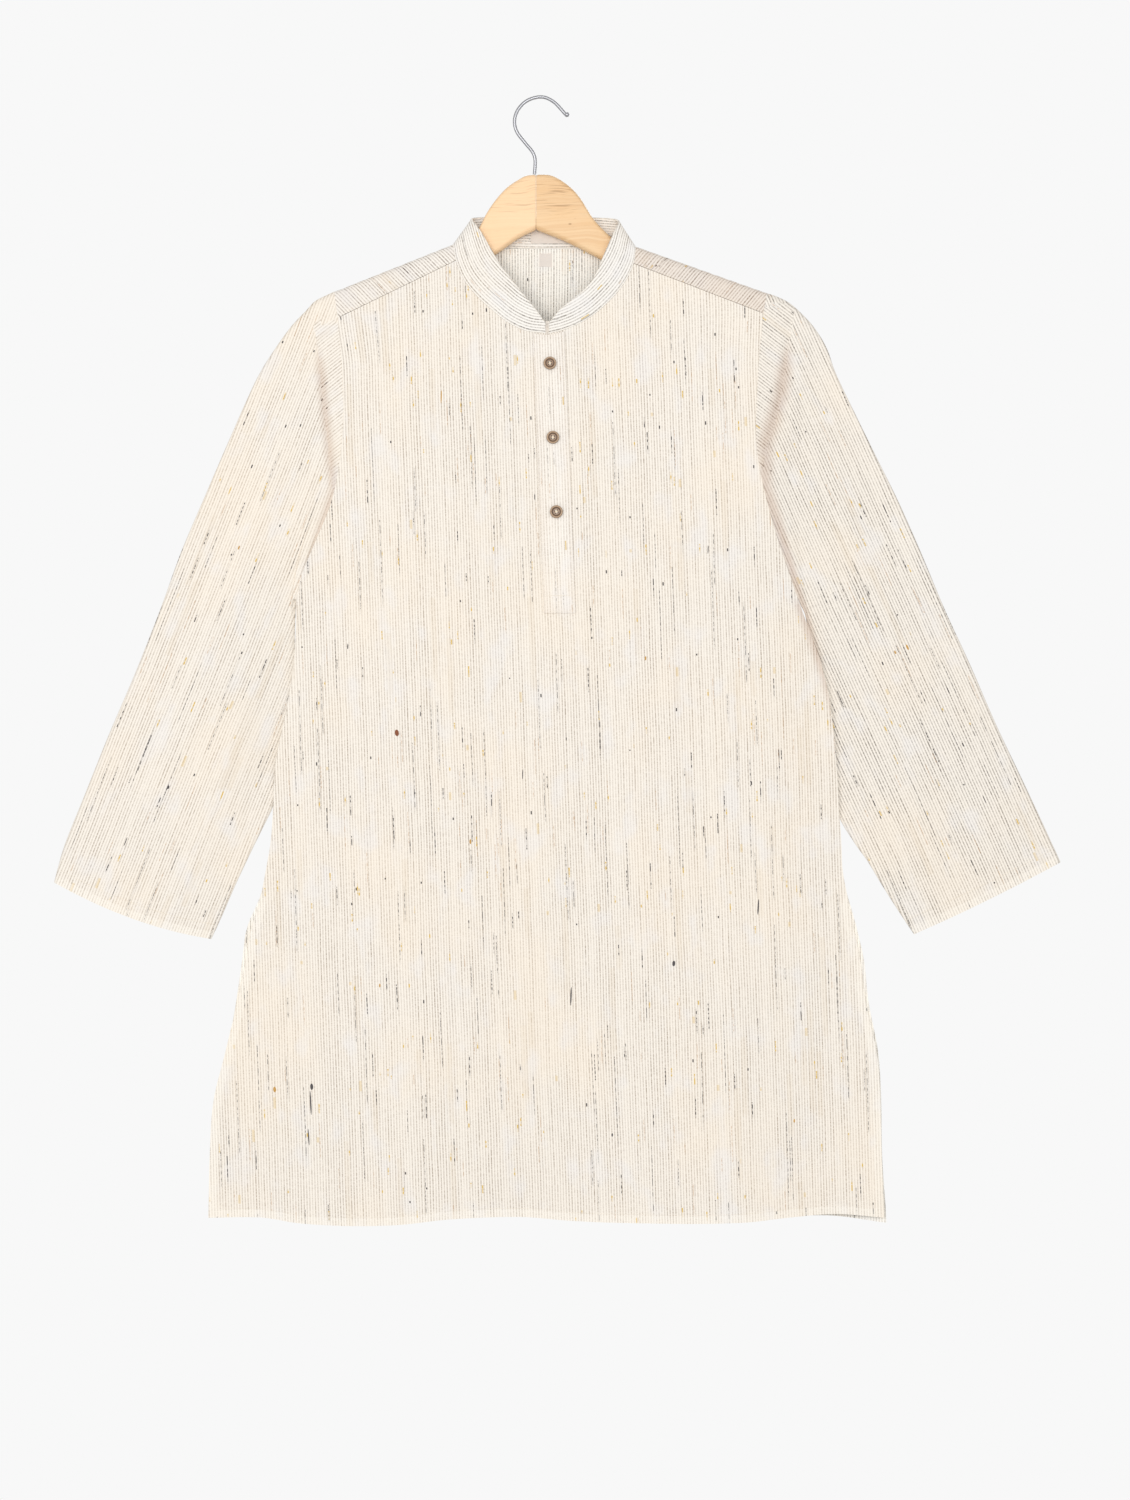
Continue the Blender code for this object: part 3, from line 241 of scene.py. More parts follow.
# The hook's bent wire: x, z from its foot on the wood to its round tip
WIRE_RADIUS = 0.00175
HOOK_LINE = (
    (-0.0064, -0.0752), (-0.0058, -0.061), (-0.0081, -0.0535), (-0.0153, -0.0445), (-0.0242, -0.0325),
    (-0.0264, -0.0216), (-0.0233, -0.0113), (-0.0153, -0.0026), (-0.0046, 0.0016), (0.0044, 0.0014),
    (0.0133, -0.0033), (0.0204, -0.0105), (0.0245, -0.015), (0.0284, -0.0162),
)
HOOK_BALL_RADIUS = 0.0025

# How it all hangs in depth: the arms sweep forward, and the skirt falls in flutes
ARM_SWEEP = 0.055
SWEEP_SOFTNESS = 0.035
SWEEP_EASE = 0.25
# Each flute: x at the hem, x at its top, half width, depth, z where it starts
FLUTES = (
    (-0.265, -0.215, 0.05, 0.0045, -0.62), (-0.13, -0.11, 0.062, -0.005, -0.7),
    (0.02, 0.015, 0.07, 0.004, -0.8), (0.165, 0.13, 0.058, -0.005, -0.66),
    (0.28, 0.225, 0.048, 0.005, -0.6),
)

# Fine sleeves: steps between two of the table's rings, the seam allowance under the body's edge, and
# the fine ring at which a sleeve is measured all round
RING_STEPS = 8
TUCK = 0.0040
WIDEST_RING = 9
# The gaps that show along an armhole seam and a shoulder seam
SEWN_GAP = 0.00012
SHOULDER_GAP = 0.0004
# The warp's lean from vertical on each sleeve, on a cap beside its fold, and on the front, as a slope
SLEEVE_GRAIN = {-1: 21.5, 1: 24.0}
WEDGE_GRAIN = 52.0
WARP_LEAN = 0.036
# Painted shade on the back's shoulder parts, and in each armhole's fold: extra width, lowest z, strength
SHOULDER_SHADE = {-1: 0.72, 1: 0.85}
FOLD_SHADE = {-1: (0.007, -0.560, 0.90), 1: (0.013, -0.660, 1.00)}
# The deep fold down each sleeve beside the armhole seam: x, z from the shoulder down
VALLEYS = {
    -1: (-0.226, -0.222, -0.222, -0.246, -0.212, -0.338, -0.206, -0.398),
    1: (0.252, -0.206, 0.249, -0.226, 0.237, -0.305, 0.219, -0.369),
}
# Creases: x, z of each point, then half width and depth; a negative depth is a trough
FRONT_CREASES = (
    (-0.013, -0.555, -0.013, -0.579, -0.031, -0.617, 0.0022, -0.0006),
    (-0.012, -0.553, -0.009, -0.585, -0.024, -0.622, 0.0045, 0.0006),
    (0.02, -0.535, 0.027, -0.64, 0.022, -0.77, 0.014, 0.0014),
    (0.052, -0.47, 0.064, -0.62, 0.058, -0.8, 0.018, -0.0012),
    (-0.06, -0.33, -0.072, -0.48, -0.066, -0.64, 0.02, 0.0014),
    (-0.104, -0.56, -0.118, -0.76, -0.122, -0.96, 0.016, -0.0015),
    (-0.168, -0.64, -0.182, -0.83, -0.19, -1.05, 0.02, 0.0016),
    (0.118, -0.36, 0.128, -0.52, 0.124, -0.65, 0.022, 0.0013),
    (0.158, -0.64, 0.172, -0.86, 0.18, -1.08, 0.017, -0.0016),
    (0.214, -0.54, 0.232, -0.74, 0.246, -0.94, 0.019, 0.0015),
    (-0.232, -0.56, -0.24, -0.7, -0.262, -0.84, 0.013, -0.0012),
    (-0.02, -0.82, -0.03, -0.96, -0.026, -1.09, 0.019, 0.0013),
    (0.082, -0.85, 0.088, -0.98, 0.094, -1.09, 0.014, -0.0011),
    (-0.178, -0.33, -0.171, -0.4, -0.186, -0.47, 0.008, 0.001),
    (0.19, -0.33, 0.184, -0.41, 0.205, -0.48, 0.009, 0.001),
    (-0.226, -0.905, -0.252, -1.0, -0.27, -1.095, 0.011, 0.0012),
    (0.262, -0.9, 0.282, -1.01, 0.3, -1.09, 0.012, 0.0011),
)
BACK_CREASES = (
    (0.0, -0.28, 0.006, -0.48, -0.004, -0.7, 0.02, 0.0016),
    (-0.08, -0.32, -0.092, -0.52, -0.086, -0.74, 0.018, -0.0015),
    (0.092, -0.3, 0.104, -0.54, 0.096, -0.76, 0.021, -0.0013),
    (-0.15, -0.48, -0.164, -0.7, -0.178, -0.98, 0.019, 0.0016),
    (0.16, -0.46, 0.172, -0.72, 0.19, -1.01, 0.018, 0.0015),
    (-0.03, -0.76, -0.04, -0.93, -0.036, -1.08, 0.02, -0.0014),
    (0.06, -0.8, 0.07, -0.96, 0.078, -1.09, 0.017, 0.0013),
    (-0.228, -0.6, -0.244, -0.82, -0.27, -1.06, 0.015, -0.0013),
    (0.236, -0.58, 0.256, -0.8, 0.284, -1.05, 0.016, -0.0013),
    (-0.18, -0.32, -0.172, -0.4, -0.196, -0.48, 0.009, -0.001),
    (0.196, -0.32, 0.188, -0.41, 0.214, -0.486, 0.009, -0.001),
)
SLEEVE_CREASES = {
    -1: (
        (-0.226, -0.216, -0.22, -0.26, -0.212, -0.338, -0.206, -0.4, 0.004, -0.0026),
        (-0.206, -0.398, -0.226, -0.448, -0.24, -0.5, -0.244, -0.56, 0.004, -0.002),
        (-0.234, -0.24, -0.228, -0.33, -0.222, -0.41, -0.24, -0.48, 0.0085, 0.0016),
        (-0.252, -0.3, -0.278, -0.42, -0.33, -0.56, 0.012, 0.0013),
        (-0.276, -0.3, -0.31, -0.42, -0.356, -0.54, 0.009, -0.0012),
        (-0.262, -0.52, -0.3, -0.62, -0.352, -0.73, 0.01, 0.0013),
        (-0.31, -0.6, -0.35, -0.69, -0.392, -0.8, 0.011, -0.0012),
        (-0.38, -0.58, -0.41, -0.67, -0.444, -0.78, 0.01, 0.0011),
        (-0.256, -0.6, -0.276, -0.67, -0.3, -0.74, 0.005, -0.0009),
    ),
    1: (
        (0.252, -0.205, 0.247, -0.24, 0.237, -0.305, 0.219, -0.371, 0.004, -0.0026),
        (0.219, -0.369, 0.24, -0.44, 0.259, -0.501, 0.279, -0.57, 0.004, -0.002),
        (0.262, -0.225, 0.254, -0.3, 0.238, -0.375, 0.256, -0.45, 0.0085, 0.0016),
        (0.272, -0.29, 0.298, -0.41, 0.352, -0.54, 0.012, 0.0013),
        (0.292, -0.28, 0.33, -0.39, 0.38, -0.52, 0.009, -0.0012),
        (0.292, -0.52, 0.33, -0.61, 0.384, -0.72, 0.01, 0.0013),
        (0.338, -0.59, 0.38, -0.68, 0.426, -0.78, 0.011, -0.0012),
        (0.41, -0.57, 0.442, -0.66, 0.476, -0.76, 0.01, 0.0011),
        (0.292, -0.61, 0.312, -0.68, 0.34, -0.74, 0.005, -0.0009),
    ),
}
SLEEVE_BACK_CREASES = {
    -1: (
        (-0.236, -0.23, -0.23, -0.33, -0.236, -0.43, 0.006, -0.002),
        (-0.262, -0.3, -0.3, -0.44, -0.35, -0.58, 0.011, 0.0013),
        (-0.29, -0.56, -0.34, -0.67, -0.39, -0.78, 0.01, -0.0012),
        (-0.34, -0.46, -0.38, -0.58, -0.42, -0.7, 0.012, 0.0012),
    ),
    1: (
        (0.262, -0.22, 0.252, -0.32, 0.262, -0.42, 0.006, -0.002),
        (0.284, -0.29, 0.326, -0.43, 0.378, -0.56, 0.011, 0.0013),
        (0.316, -0.56, 0.366, -0.66, 0.42, -0.76, 0.01, -0.0012),
        (0.364, -0.45, 0.408, -0.57, 0.452, -0.68, 0.012, 0.0012),
    ),
}

# The collar's fine mesh: steps between two rows of its table, and levels from seam to top edge
COLLAR_FINE = 12
COLLAR_LEVELS = (0.0, 0.03, 0.07, 0.16, 0.30, 0.45, 0.60, 0.74, 0.86, 0.925, 0.965, 0.985, 1.0)

# A fine button: radius, height above the placket
BUTTON_PROFILE = (
    (0.0, 0.00205), (0.0018, 0.00203), (0.003, 0.002), (0.0036, 0.00208), (0.0041, 0.00235),
    (0.0046, 0.00272), (0.0051, 0.00292), (0.0056, 0.0029), (0.006, 0.00268), (0.00625, 0.0023),
    (0.00635, 0.0018), (0.00625, 0.0012), (0.0058, 0.0007), (0.0046, 0.0005), (0.0, 0.00045),
)
# Slubs that stand up from the cloth: x, z, length, width, lean from vertical in degrees, look
FRONT_NUBS = (
    (-0.143, -0.634, 0.007, 0.0036, 8, "nub_brown"), (0.132, -0.863, 0.006, 0.0026, -4, "nub_dark"),
    (-0.228, -0.986, 0.0068, 0.0027, 3, "nub_dark"), (-0.229, -1.002, 0.026, 0.0012, 3, "nub_dark"),
    (-0.231, -1.036, 0.018, 0.0011, 4, "nub_dark"), (-0.265, -0.989, 0.006, 0.0026, 5, "nub_mustard"),
    (0.03, -0.896, 0.02, 0.0012, -2, "nub_dark"), (0.216, -0.807, 0.017, 0.0013, -3, "nub_dark"),
    (-0.099, -0.3, 0.014, 0.0011, -2, "nub_mustard"), (-0.07, -0.742, 0.0052, 0.0016, -2, "nub_mustard"),
    (0.104, -0.56, 0.0044, 0.0015, -2, "nub_mustard"), (0.071, -1.034, 0.0038, 0.0014, -2, "nub_dark"),
    (-0.16, -0.885, 0.0042, 0.0013, -2, "nub_mustard"), (0.252, -1.02, 0.004, 0.0014, -2, "nub_mustard"),
    (-0.018, -0.675, 0.011, 0.0008, -2, "nub_dark"), (0.166, -0.452, 0.009, 0.0008, -2, "nub_dark"),
    (-0.192, -0.548, 0.006, 0.001, -2, "nub_dark"),
)
SLEEVE_NUBS = {
    -1: (
        (-0.37, -0.688, 0.004, 0.0021, 21, "nub_dark"), (-0.3, -0.45, 0.0046, 0.0014, 21, "nub_mustard"),
        (-0.412, -0.742, 0.01, 0.0008, 21, "nub_dark"),
    ),
    1: (
        (0.364, -0.549, 0.006, 0.0017, -24, "nub_mustard"),
        (0.352, -0.554, 0.0044, 0.0015, -24, "nub_mustard"), (0.44, -0.7, 0.009, 0.0008, -24, "nub_dark"),
        (0.318, -0.42, 0.0044, 0.0012, -24, "nub_dark"),
    ),
}

# The picture: where the camera stands, its lens in millimetres, the floor's level and the soft light
CAMERA = (0.024, -3.2, -0.651)
LENS = 76.8
FLOOR_Z = -1.75
AMBIENT = 0.66
# Each soft light: name, place, aim, diameter, power, colour
STUDIO_LIGHTS = (
    ("front", (0.1, -3.6, -0.1), (0.0, 0.0, -0.5), 1.2, 26.0, (1.0, 1.0, 0.99)),
    ("key", (-1.9, -3.4, 0.1), (0.0, 0.0, -0.6), 1.9, 34.0, (1.0, 0.99, 0.97)),
    ("fill", (1.8, -3.4, -0.4), (0.0, 0.0, -0.6), 2.4, 15.0, (0.98, 0.99, 1.0)),
    ("back", (0.6, 2.6, 0.6), (0.0, 0.0, -0.6), 2.2, 30.0, (1.0, 1.0, 1.0)),
)


def smooth(low, high, value):
    """0 below low, 1 above high and a soft step between."""
    share = np.clip((value - low) / (high - low), 0.0, 1.0)
    return share * share * (3 - 2 * share)


def hermite(t, start, end, leaving, arriving):
    """A smooth curve's value at t, from 0 to 1, by its ends' values and slopes."""
    return (
        (2 * t**3 - 3 * t**2 + 1) * start
        + (t**3 - 2 * t**2 + t) * leaving
        + (3 * t**2 - 2 * t**3) * end
        + (t**3 - t**2) * arriving
    )


def from_table(rows, key, column):
    """A column's value at each key, on a smooth curve through the rows, whose keys run one way."""
    keys = np.array([row[0] for row in rows], float)
    values = np.array([row[column] for row in rows], float)
    key = np.asarray(key, float)
    if keys[0] > keys[-1]:
        keys, key = -keys, -key
    low = np.maximum(np.arange(len(keys)) - 1, 0)
    high = np.minimum(np.arange(len(keys)) + 1, len(keys) - 1)
    slopes = (values[high] - values[low]) / (keys[high] - keys[low])
    key = np.clip(key, keys[0], keys[-1])
    i = np.searchsorted(keys[1:-1], key, side="left")
    span = keys[i + 1] - keys[i]
    return hermite((key - keys[i]) / span, values[i], values[i + 1], span * slopes[i], span * slopes[i + 1])


def between(rows, steps):
    """Rows and steps - 1 more between each two of them, on smooth curves."""
    at = np.linspace(0, len(rows) - 1, (len(rows) - 1) * steps + 1)
    i = np.minimum(at.astype(int), len(rows) - 2)
    slopes = np.gradient(rows, axis=0)
    return hermite((at - i)[:, None, None], rows[i], rows[i + 1], slopes[i], slopes[i + 1])


def run_along(points):
    """Each point's distance along its line."""
    return np.concatenate([[0.0], np.cumsum(np.linalg.norm(np.diff(points, axis=0), axis=1))])


def at_lengths(points, keys):
    """A line's places at given distances along it."""
    along = run_along(points)
    return np.stack([np.interp(keys, along, column) for column in np.transpose(points)], axis=1)


def curve_through(points, count):
    """count points evenly spaced along a smooth curve through the given ones."""
    rows = np.column_stack([run_along(points), points])
    keys = np.linspace(0, rows[-1, 0], count)
    return np.stack([from_table(rows, keys, c) for c in range(1, rows.shape[1])], axis=1)


def resample(points, step):
    """The same line with points about a step apart; both ends stay."""
    length = run_along(points)[-1]
    return at_lengths(points, np.linspace(0, length, max(2, round(length / step) + 1)))


class Fold:
    """The rounded top of one shoulder, where the back panel turns over to the front."""

    def __init__(self, side):
        neck_x, neck_z, arm_x, arm_z = SHOULDER_FOLD[side]
        self.origin = np.array((neck_x, neck_z))
        towards_neck = np.array((neck_x - arm_x, neck_z - arm_z))
        self.along = towards_neck / np.linalg.norm(towards_neck)
        self.up = np.array((-self.along[1], self.along[0])) * math.copysign(1, self.along[0])
        self.turn_start = -(CLOTH / 2 + FOLD_RADIUS)
        self.turn_end = self.turn_start + math.pi * FOLD_RADIUS

    def across(self, x, z):
        """Distance above the fold's outline, negative below it."""
        return (x - self.origin[0]) * self.up[0] + (z - self.origin[1]) * self.up[1]

    def down(self, x, z):
        """Distance along the fold from its neck end, negative towards the arm."""
        return (x - self.origin[0]) * self.along[0] + (z - self.origin[1]) * self.along[1]

    def place(self, a, d):
        a, d = np.broadcast_arrays(a, d)
        return self.origin + a[..., None] * self.along + d[..., None] * self.up

    def outline_z(self, x):
        """Height of the fold's outline over x."""
        return self.origin[1] + (x - self.origin[0]) * self.along[1] / self.along[0]

    def turned(self, level):
        """Angle from the back round to the crown at a level inside the turn."""
        return np.arcsin(np.clip((level - self.turn_start) / FOLD_RADIUS, 0, 1))

    def flat_from_front(self, x, z):
        """Where points seen on the front, above the shoulder seam, lie on the flat back piece."""
        level = self.across(x, z)
        below = self.turn_end + self.turn_start - level
        above = self.turn_start + FOLD_RADIUS * (math.pi - self.turned(level))
        return self.place(self.down(x, z), np.where(level < self.turn_start, below, above))

    def flat_from_back(self, x, z):
        """Where points seen on the back lie on the flat back piece."""
        level = self.across(x, z)
        turned = self.turn_start + FOLD_RADIUS * self.turned(level)
        return self.place(self.down(x, z), np.where(level < self.turn_start, level, turned))


FOLDS = {side: Fold(side) for side in (-1, 1)}


def below_fold(x, z):
    """Depth of a point below the shoulders' mid-surface; the two sides blend over the neck."""
    share = smooth(-0.04, 0.04, x - CENTRE_X)
    return -((1 - share) * FOLDS[-1].across(x, z) + share * FOLDS[1].across(x, z)) - CLOTH / 2


def lens(x, z):
    """1 at the body's middle and 0 at its side seams."""
    left, right = from_table(SIDE_EDGES, z, 1), from_table(SIDE_EDGES, z, 2)
    above = z > ARMPIT_Z
    half = np.where(above, from_table(LENS_WIDTH, z, 1), (right - left) / 2)
    middle = np.where(above, (SIDE_EDGES[0][1] + SIDE_EDGES[0][2]) / 2, (right + left) / 2)
    return 1 - np.minimum(1.0, np.abs(x - middle) / half) ** LENS_POWER


def half_depth(x, z, full):
    """Distance of the front or the back from the garment's middle surface."""
    below = np.maximum(0.0, below_fold(x, z))
    edge = SIDE_SEAM_HALF + SLIT_PARTING * smooth(-SLIT_TOP_Z, -HEM_Z, -z)
    depth = edge + (full * from_table(BODY_FULLNESS, z, 1) - edge) * lens(x, z)
    depth = FOLD_RADIUS + (depth - FOLD_RADIUS) * smooth(FOLD_RADIUS, 0.150, below)
    turn = np.sqrt(np.maximum(0.0, 1 - (1 - np.minimum(below, FOLD_RADIUS) / FOLD_RADIUS) ** 2))
    return depth * turn


def hang(x, z):
    """How far back the whole garment lies at a point of the front view."""
    sweep = -ARM_SWEEP * (np.hypot(x, SWEEP_SOFTNESS) - SWEEP_SOFTNESS)
    sweep = sweep * (1 - SWEEP_EASE * smooth(0.25, 1.00, -z))
    for hem_x, top_x, width, depth, start in FLUTES:
        down = smooth(-start, -HEM_Z, -z)
        middle = top_x + (hem_x - top_x) * down
        sweep = sweep + depth * down * np.exp(-(((x - middle) / width) ** 2))
    return sweep


def stack(x, y, z):
    """Points in space from their parts."""
    return np.stack(np.broadcast_arrays(x, y, z), axis=-1)


def lift_front(p):
    """Lifts points of the front view onto the hanging front."""
    x, z = p[..., 0], p[..., 1]
    return stack(x, hang(x, z) - half_depth(x, z, FRONT_DEPTH), z)


def lift_back(p):
    """Lifts points of the flat back piece: up the back, over the shoulder and down the front."""
    out = np.empty((*p.shape[:-1], 3))
    for side, fold in FOLDS.items():
        here = (p[..., 0] < CENTRE_X) == (side < 0)
        x, z = p[here].T
        d, a = fold.across(x, z), fold.down(x, z)
        turned = np.clip((d - fold.turn_start) / FOLD_RADIUS, 0, math.pi)
        level = fold.turn_start + FOLD_RADIUS * np.sin(turned)
        level = np.where(d >= fold.turn_end, fold.turn_start - (d - fold.turn_end), level)
        x, z = fold.place(a, np.where(d <= fold.turn_start, d, level)).T
        y = FOLD_RADIUS * np.cos(turned)
        y = np.where(d <= fold.turn_start, half_depth(x, z, BACK_DEPTH), y)
        y = np.where(d >= fold.turn_end, -half_depth(x, z, FRONT_DEPTH), y)
        out[here] = stack(x, y + hang(x, z), z)
    return out


def lift_collar_back(p):
    """Lifts points of the front view onto the collar's band behind the neck."""
    x, z = p[..., 0], p[..., 1]
    _, seam_z, _, top_z, top_y = COLLAR[len(COLLAR) // 2]
    seam_y = half_depth(x, np.full(np.shape(x), seam_z), BACK_DEPTH)
    return stack(x, seam_y + (top_y - seam_y) * (z - seam_z) / (top_z - seam_z) + hang(x, z), z)


def normals_of(lift, p, step=0.0004):
    """Unit normals of a lifted flat piece; they point to -Y where the piece isn't folded over."""
    across = lift(p + (step, 0)) - lift(p - (step, 0))
    up = lift(p + (0, step)) - lift(p - (0, step))
    n = np.cross(across, up)
    return n / np.linalg.norm(n, axis=-1, keepdims=True)


def normals_of_mesh(points, faces):
    """Unit normal at each point, the mean of its faces' normals by area."""
    corners = points[faces]
    area = np.cross(corners[:, 1] - corners[:, 0], corners[:, 2] - corners[:, 0])
    if faces.shape[1] == 4:
        area = area + np.cross(corners[:, 2] - corners[:, 0], corners[:, 3] - corners[:, 0])
    normals = np.zeros_like(points)
    for c in range(faces.shape[1]):
        np.add.at(normals, faces[:, c], area)
    return normals / np.maximum(np.linalg.norm(normals, axis=1, keepdims=True), 1e-12)


def link(name, data, place=(0, 0, 0), turn=(0, 0, 0)):
    """A new object in the scene."""
    made = bpy.data.objects.new(name, data)
    made.location = place
    made.rotation_euler = turn
    bpy.context.scene.collection.objects.link(made)
    return made


def add_piece(name, points, faces, look, cut=None, node=None, sharp=60):
    """An object riding on the frame. cut holds each corner's place on the flat cloth and its painted shade.
    """
    mesh = bpy.data.meshes.new(name)
    mesh.from_pydata(points.tolist(), [], [list(face) for face in faces])
    if cut is not None:
        made = mesh.attributes.new("cut", "FLOAT_VECTOR", "CORNER")
        made.data.foreach_set("vector", np.asarray(cut, np.float32).ravel())
    mesh.shade_smooth()
    mesh.set_sharp_from_angle(angle=math.radians(sharp))
    material, slot = LOOK[look]
    mesh.materials.append(material)
    piece = link(name, mesh)
    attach(piece, "root")
    if node:
        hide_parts(node)
    return piece


def add_shell(name, node, points, normals, faces, thick, look, cut):
    """A cloth shell: the faces moved half its thickness each way, joined round every open edge."""
    half = (np.broadcast_to(thick, len(points)) / 2)[:, None] * normals
    count = len(points)
    corners = cut[faces] if cut.ndim == 2 else cut
    a, b = faces, np.roll(faces, -1, axis=1)
    open_edge = ~np.isin((a * count + b).ravel(), (b * count + a).ravel())
    a, b = a.ravel()[open_edge], b.ravel()[open_edge]
    rim = np.stack([b, a, a + count, b + count], axis=1)
    at_a = corners.reshape(-1, 3)[open_edge]
    at_b = np.roll(corners, -1, axis=1).reshape(-1, 3)[open_edge]
    rim_cut = np.stack([at_b, at_a, at_a, at_b], axis=1)
    both = np.vstack([points + half, points - half])
    all_faces = [*faces.tolist(), *(faces[:, ::-1] + count).tolist(), *rim.tolist()]
    all_cut = np.vstack([part.reshape(-1, 3) for part in (corners, corners[:, ::-1], rim_cut)])
    return add_piece(name, both, all_faces, look, all_cut, node)


def inside(outline, p):
    """Which points lie inside a closed outline."""
    found = np.zeros(len(p), bool)
    for (ax, az), (bx, bz) in zip(outline, np.roll(outline, -1, axis=0)):
        if az != bz:
            crosses = (az > p[:, 1]) != (bz > p[:, 1])
            found ^= crosses & (p[:, 0] < (bx - ax) * (p[:, 1] - az) / (bz - az) + ax)
    return found


def nearest(p, line):
    """Each point's distance from an open line, and how far along that line its nearest place is, 0 to 1."""
    best = np.full(len(p), 9.0)
    where = np.zeros(len(p))
    for i, (a, b) in enumerate(zip(line, line[1:])):
        step = b - a
        t = np.clip(((p - a) @ step) / max(float(step @ step), 1e-12), 0, 1)
        distance = np.linalg.norm(p - a - t[:, None] * step, axis=1)
        closer = distance < best
        best = np.where(closer, distance, best)
        where = np.where(closer, (i + t) / (len(line) - 1), where)
    return best, where


def distance_to(p, *lines):
    """Each point's distance from the nearest of some open lines."""
    return np.min([nearest(p, line)[0] for line in lines], axis=0)


def closed(outline):
    return np.vstack([outline, outline[:1]])


def tree_of(points):
    """A search tree over flat points."""
    tree = KDTree(len(points))
    for i, q in enumerate(points):
        tree.insert((*q, 0.0), i)
    tree.balance()
    return tree


def grid_points(outline, step):
    """Staggered points inside an outline, clear of the outline's own points."""
    low, high = outline.min(axis=0), outline.max(axis=0)
    rows = np.arange(high[1] - step / 2, low[1], -step * 0.866)
    columns = np.arange(low[0], high[0] + step, step)
    x = np.tile(columns, (len(rows), 1)) + (np.arange(len(rows)) % 2)[:, None] * step / 2
    p = np.stack([x, np.tile(rows[:, None], (1, len(columns)))], axis=2).reshape(-1, 2)
    p = p[inside(outline, p)]
    tree = tree_of(outline)
    return p[[tree.find((*q, 0.0))[2] > step * 0.55 for q in p]]


def flat_mesh(outline, within):
    """Triangulates an outline and the points inside it."""
    count = len(outline)
    edges = [(i, (i + 1) % count) for i in range(count)]
    made = delaunay_2d_cdt([Vector(p) for p in (*outline, *within)], edges, [], 1, 1e-7)
    return np.array([tuple(v) for v in made[0]]), np.array([face for face in made[2] if len(face) == 3])


def armhole_seam(side, step):
    """The armhole seam from the shoulder's crown to the armpit, and the point at the shoulder seam."""
    fold = FOLDS[side]
    corner = np.array(ARMHOLE[side][0])
    crown = np.array(SHOULDER_FOLD[side][2:]) - fold.up * CLOTH / 2
    reach = float((crown - corner) @ fold.up)
    drops = [FOLD_RADIUS * (1 - math.cos(math.radians(angle))) for angle in range(0, 91, 10)]
    drops += list(np.arange(FOLD_RADIUS + step, reach - step / 2, step))
    top = [crown + (corner - crown) * drop / reach for drop in drops]
    return np.vstack([top, curve_through(ARMHOLE[side], 60)]), len(top)


def side_edge(side, step, back=False):
    """Side seam and slit edge from the armpit to the hem."""
    column = 1 if side < 0 else 2
    z = np.arange(ARMPIT_Z, HEM_Z + 0.008, -step)
    more = from_table(BACK_SLIT_OVERHANG, z, column) if back else 0.0
    x = from_table(SIDE_EDGES, z, column) + side * np.where(z < SLIT_TOP_Z, more, 0.0)
    return np.stack([x, z], axis=1)


def hem_edge(step, back=False):
    """The hem from left to right."""
    left = HEM[0][0] - (BACK_SLIT_OVERHANG[-1][1] if back else 0.0)
    right = HEM[-1][0] + (BACK_SLIT_OVERHANG[-1][2] if back else 0.0)
    x = np.linspace(left, right, round((right - left) / step))
    return np.stack([x, from_table(HEM, x, 2 if back else 1)], axis=1)


def collar_stations(steps):
    """The collar's rows and more between them, and -1, 0 or 1 before, on or behind the shoulder."""
    rows = [(i, *row) for i, row in enumerate(COLLAR)]
    at = np.linspace(0, len(COLLAR) - 1, (len(COLLAR) - 1) * steps + 1)
    top_y = np.array(COLLAR)[:, 4]
    sides = np.sign(top_y[np.floor(at).astype(int)] + top_y[np.ceil(at).astype(int)])
    return np.stack([from_table(rows, at, c) for c in range(1, 6)], axis=1), sides


def crease_depth(x, z, rows):
    """How far the listed creases lift the cloth; a row's depth is negative for a trough."""
    p = np.stack([np.ravel(x), np.ravel(z)], axis=1)
    lift = np.zeros(len(p))
    for *points, width, depth in rows:
        distance, where = nearest(p, curve_through(np.array(points).reshape(-1, 2), 9))
        lift += depth * np.sin(np.pi * where) ** 0.7 * np.exp(-((distance / width) ** 2))
    return lift.reshape(np.shape(x))


def ripple(x, z, seed):
    """A fraction of a millimetre of unevenness, as woven cloth has when it hangs."""
    total = np.zeros(np.shape(x))
    rng = np.random.default_rng(seed)
    for _ in range(9):
        wave = rng.uniform(0.035, 0.16)
        turn = rng.normal(0.0, 0.45)
        phase = rng.uniform(0, 6.28)
        total += np.sin(6.283 * (x * math.cos(turn) + z * math.sin(turn) * 0.6) / wave + phase)
    return total * RIPPLE


def body_relief(p, behind):
    """How far the body's cloth stands out of its smooth form; the back is smooth over the shoulders."""
    x, z = p[:, 0], p[:, 1]
    creases, seed = (BACK_CREASES, 8) if behind else (FRONT_CREASES, 3)
    relief = crease_depth(x, z, creases) + ripple(x, z, seed) * smooth(0.15, 0.32, -z)
    return relief * (z < BACK_SMOOTH_Z) if behind else relief


def sleeve_relief(x, z, side, behind):
    """How far the creases of a sleeve's front or back lift its cloth."""
    creases, seed = (SLEEVE_BACK_CREASES, 11) if behind else (SLEEVE_CREASES, 5)
    return crease_depth(x, z, creases[side]) + ripple(x, z, seed + side)


def hem_band(distance, width):
    """Extra thickness of a turned edge: two more layers, fading out at the stitch line."""
    return TURNED_LAYERS * (1 - smooth(width - 0.0015, width + 0.0015, distance))


def near_edge(p, lines):
    """1 on any of the lines and 0 from 20 mm away."""
    return np.maximum(0.0, 1 - distance_to(p, *lines) / NEAR)


